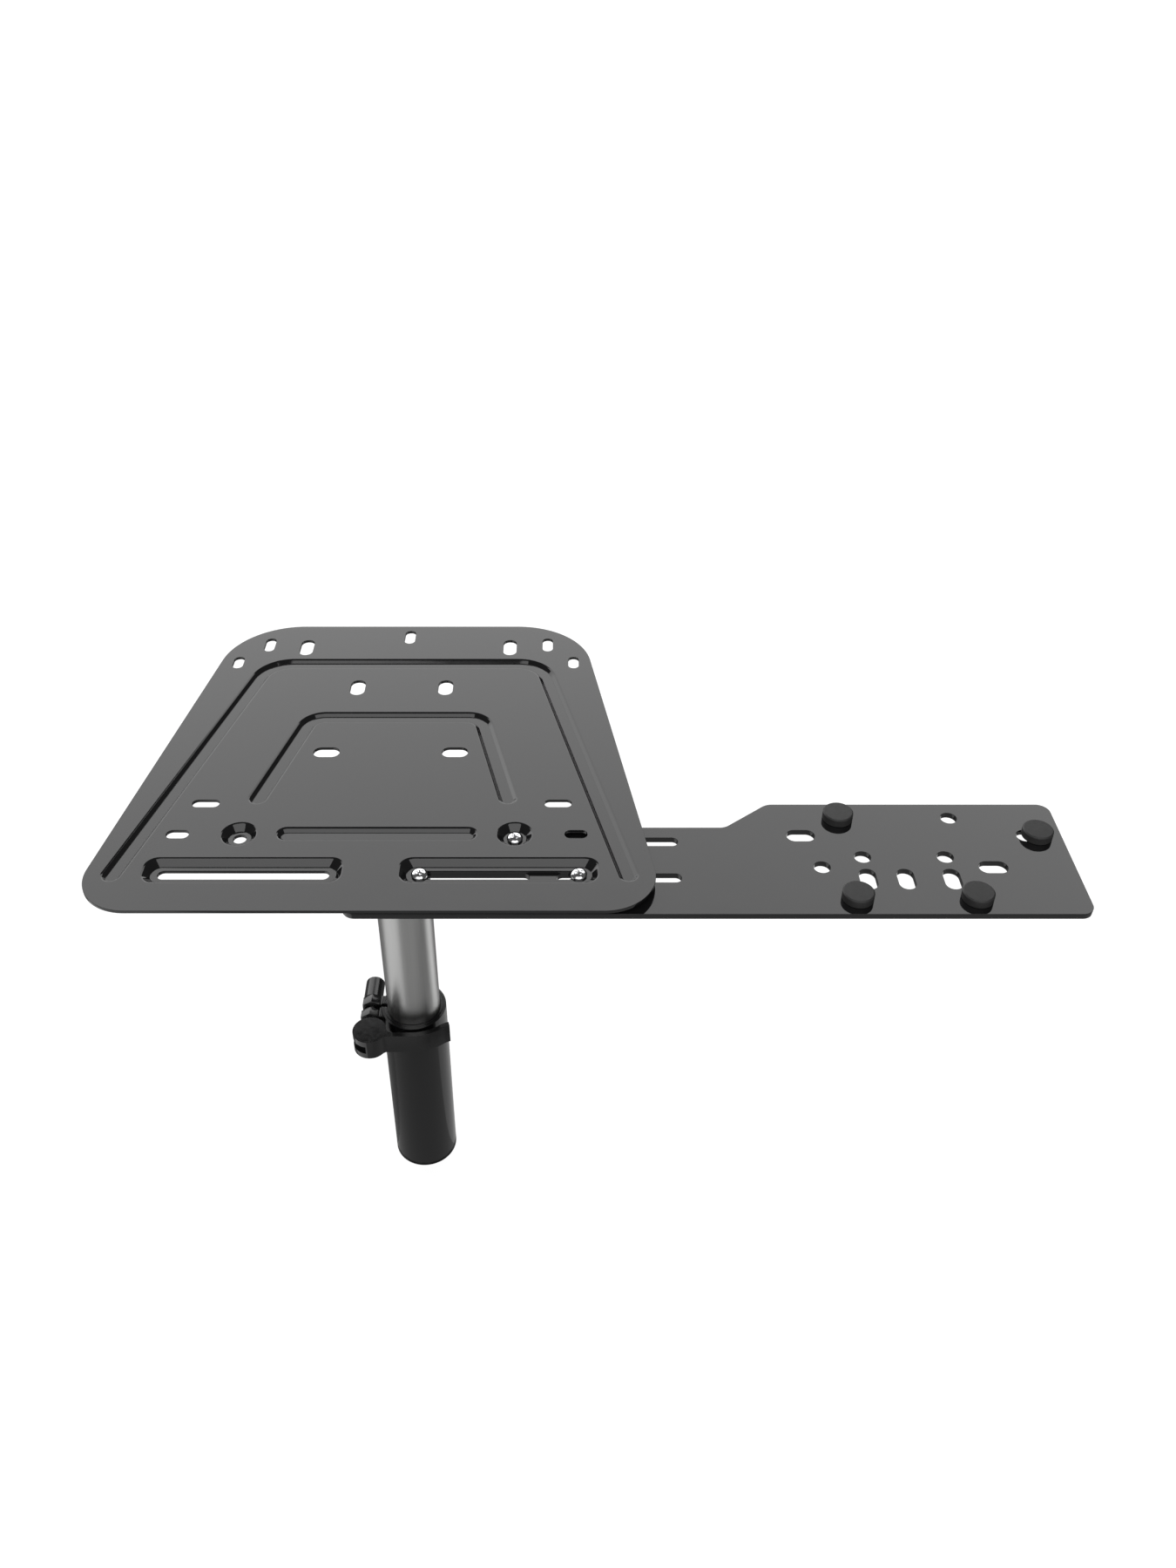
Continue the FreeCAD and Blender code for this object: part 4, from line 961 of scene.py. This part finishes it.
def joined(name, meshes):
    """Several meshes as one, shaded flat at its sharp edges."""
    bm = bmesh.new()
    for mesh in meshes:
        bm.from_mesh(mesh)
    bmesh.ops.recalc_face_normals(bm, faces=bm.faces)
    made = bpy.data.meshes.new(name)
    bm.to_mesh(made)
    bm.free()
    made.set_sharp_from_angle(angle=math.radians(CREASE))
    return made


SCREW_PLACES = {"left": (29.5, 36.0), "right": (127.1, 36.0), "rear": (87.0, 70.0)}
DISH_FLOOR = PLATE_TOP - DISH_DEPTH


def place_on_screws(name, mesh, level, slot, kind, turn, seed):
    """One mesh at each of the three screws, at a level, for the deck's nodes of a kind."""
    spots = [(x, y - SETBACK, level) for x, y in SCREW_PLACES.values()]
    place_copies(name, mesh, spots, slot, "deck", [f"deck_{kind}_{key}" for key in SCREW_PLACES], turn, seed)


shank_profile = [(0, -15.9, 0), (2.1, -15.9, 0.1), (2.55, THREAD_FOOT, 0.2), (2.55, 0.2, 0.05), (0, 0.2, 0)]
screw_mesh = joined("screw", [head_mesh, turned_blank("shank", shank_profile, 32, 2), thread_mesh])
place_on_screws("cross_head_screws", screw_mesh, DISH_FLOOR, "screw_chrome", "screw", turn=5, seed=2)

# %% Washers under the shifter plate
UNDERSIDE = SHIFTER_TOP - SHIFTER_THICK
WASHER_THICK = 1.6
washer_profile = [(3.3, -WASHER_THICK, 0.15), (6.25, -WASHER_THICK, 0.3), (6.25, 0.0, 0.3), (3.3, 0.0, 0.15)]
washer_mesh = turned_mesh("washer", washer_profile, segments=56)
place_on_screws("steel_washers", washer_mesh, UNDERSIDE, "bolt_steel", "washer", turn=180, seed=6)

# %% [markdown]
# A nut is a turned blank with six flats cut on it, and so are the clamp's hexagons further down.

# %% Nuts under the washers
CHAMFER_DROP, CHAMFER_START = 0.62, 0.97
OVER_CORNER = 0.02


def hexagon(name, flats, low, high, bore, edge=0.08):
    """A chamfered hexagon from low to high with a bore, all in mm: a turned blank cut to six flats."""
    radius = flats / 2
    corner = radius / math.cos(math.pi / 6)
    drop = (corner - radius) * CHAMFER_DROP
    start, widest = radius * CHAMFER_START, corner + OVER_CORNER
    lower = [(bore, low), (start, low), (widest, low + drop)]
    upper = [(widest, high - drop), (start, high), (bore, high)]
    blank = [(*spot, 0.1) for spot in lower + upper]
    turns = [math.radians(angle) for angle in range(30, 390, 60)]
    ends = [[(corner * math.cos(t), corner * math.sin(t), z) for t in turns] for z in (low - 1, high + 1)]
    six_flats = prism(name + "_prism", *ends)
    return machined(name, turned_blank(name, blank, 96, 2), [six_flats], "INTERSECT", width=edge, angle=22.0)


nut_mesh = hexagon("nut", flats=10.0, low=-5.0, high=0.0, bore=3.0)
place_on_screws("steel_nuts", nut_mesh, UNDERSIDE - WASHER_THICK, "bolt_steel", "nut", turn=3, seed=8)

# %% [markdown]
# ## The clamp, the tube and the ribs
#
# These pieces have the right form already, but a solid's edges are perfectly sharp, and no real edge is. Each
# one is copied, its small facets are merged into flats, and every sharp edge is rounded by what its making
# leaves: a wide rounding on the cast lever, a fine one on cut tube and on hexagons.

# %% Round the edges of the other solids
DOUBLES_WITHIN = 0.002
FLAT_WITHIN = 0.6


def refined(node, width, added=()):
    """A copy of a node with its doubles merged, its flats made whole and its sharp edges rounded."""
    name = "fine_" + node
    bm = bmesh.new()
    bm.from_mesh(frame["nodes"][node].data)
    bmesh.ops.remove_doubles(bm, verts=bm.verts, dist=DOUBLES_WITHIN * MM)
    mesh = bpy.data.meshes.new(name)
    bm.to_mesh(mesh)
    if added:
        mesh = machined(name, mesh, added, "UNION")
        bm.clear()
        bm.from_mesh(mesh)
    bmesh.ops.dissolve_limit(bm, angle_limit=math.radians(FLAT_WITHIN), verts=bm.verts, edges=bm.edges)
    bm.to_mesh(mesh)
    bm.free()
    result = machined(name, mesh, width=width, steps=3, angle=32.0)
    return add_piece(name, result, SLOT_OF[node], BODY_OF[node], node)


ROUNDINGS = {
    "lower_tube": 0.5,
    "tube_liner": 0.6,
    "clamp_web_front": 0.5,
    "clamp_web_back": 0.5,
    "clamp_bolt": 0.25,
    "post_foot_plug": 0.6,
}
ROUNDINGS |= {f"post_gusset_{k}": 0.4 for k in range(1, 5)}
for node, width in ROUNDINGS.items():
    made = refined(node, width)
    print(made.name, len(made.data.polygons), "faces")

# %% [markdown]
# The clamp's hardware lies along one bolt: a long round cap nut, two hexagons with chamfered ends on short
# round necks, and a washer against the cam. Each is turned or cut standing up and then laid along Y.

# %% Hardware along the draw bolt
def middle(node, axis):
    low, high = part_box(node)
    return (low[axis] + high[axis]) / 2 / MM


def along_y(node):
    low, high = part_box(node)
    return low.y / MM, high.y / MM


BOLT_X, BOLT_Z = middle("clamp_cap_nut", 0), middle("clamp_cap_nut", 2)
LAY_DOWN = mathutils.Matrix.Rotation(math.radians(-90), 4, "X")
LAY_ALONG_Y = mathutils.Matrix.Translation((BOLT_X * MM, 0, BOLT_Z * MM)) @ LAY_DOWN


def laid(name, mesh, node):
    """A mesh made standing on Z, laid along the draw bolt as a finished piece."""
    mesh.transform(LAY_ALONG_Y)
    add_piece(name, mesh, "clamp_black", "stand", node)


def sleeve(name, inner, outer, low, high, edges):
    """A round tube with a rounding for each corner, anticlockwise from the lower inner one."""
    corners = [(inner, low), (outer, low), (outer, high), (inner, high)]
    return turned_mesh(name, [(*corner, edge) for corner, edge in zip(corners, edges)])


BORE, NECK_R, COLLAR_R, HEX_FLATS, HEX_EDGE = 3.2, 6.2, 6.8, 14.4, 0.12
CAP_BORE, CAP_R, CAP_FLOOR = 3.1, 7.5, 2
CAP_FROM, CAP_TO = 11.0, along_y("clamp_cap_nut")[1]
cap_profile = [(CAP_BORE, CAP_FROM, 0.1), (CAP_R, CAP_FROM, 0.3), (CAP_R, CAP_TO, 1.3), (0, CAP_TO, 0)]
cap_profile += [(0, CAP_TO - CAP_FLOOR, 0), (CAP_BORE, CAP_TO - CAP_FLOOR, 0.2)]
laid("long_cap_nut", turned_mesh("long_cap_nut", cap_profile, segments=96), "clamp_cap_nut")
low = along_y("clamp_hex_back")[0]
back_nut = joined("back_hexagon", [
    hexagon("back_hexagon", HEX_FLATS, low + 0.7, CAP_FROM, BORE, HEX_EDGE),
    sleeve("back_neck", BORE, NECK_R, low, low + 0.8, (0.1, 0.2, 0.05, 0.05)),
])
laid("back_hexagon", back_nut, "clamp_hex_back")
low, high = along_y("clamp_hex_front")
front_nut = joined("front_hexagon", [
    hexagon("front_hexagon", HEX_FLATS, low + 0.6, high - 1.2, BORE, HEX_EDGE),
    sleeve("front_neck", BORE, NECK_R, high - 1.3, high, (0.05, 0.05, 0.2, 0.1)),
    sleeve("front_collar", BORE, COLLAR_R, low, low + 0.7, (0.05, 0.2, 0.05, 0.05)),
])
laid("front_hexagon", front_nut, "clamp_hex_front")
low, high = along_y("cam_washer")
cam_washer_r = (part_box("cam_washer")[1].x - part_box("cam_washer")[0].x) / 2 / MM
cam_washer = sleeve("cam_thrust_washer", BORE, cam_washer_r, low, high, (0.1, 0.4, 0.4, 0.1))
laid("cam_thrust_washer", cam_washer, "cam_washer")
print("bolt at x", round(BOLT_X, 2), "z", round(BOLT_Z, 2), "cap from", CAP_FROM, "to", round(CAP_TO, 2))

# %% [markdown]
# The lever turns on a steel pin that is pressed in from below. Its top end stays under the lever's skin, so
# from above the cam is one plain black face, and the pin shows only in the slot and underneath.

# %% The lever and its pin
SKIN = 1.6
PIN_RECESS = 0.2
PLUG_OVERLAP = 0.3
pin_low, pin_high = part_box("cam_pin")
pin_r = (pin_high.x - pin_low.x) / 2 / MM
pin_spot = (middle("cam_pin", 0), middle("cam_pin", 1), 0)
foot, top, skin_top = pin_low.z / MM + PIN_RECESS, pin_high.z / MM - SKIN, pin_high.z / MM
profile = [(0, foot, 0), (pin_r, foot, 0.5), (pin_r, top, 0.3), (0, top, 0)]
add_piece("pressed_pin", turned_mesh("pressed_pin", profile, pin_spot), "bolt_steel", "lever", "cam_pin")
plug_r = pin_r + PLUG_OVERLAP
plug = turned_mesh("plug", [(0, top, 0), (plug_r, top, 0), (plug_r, skin_top, 0), (0, skin_top, 0)], pin_spot)
lever_piece = refined("cam_lever", 0.55, added=[plug])
print("lever:", len(lever_piece.data.polygons), "faces")
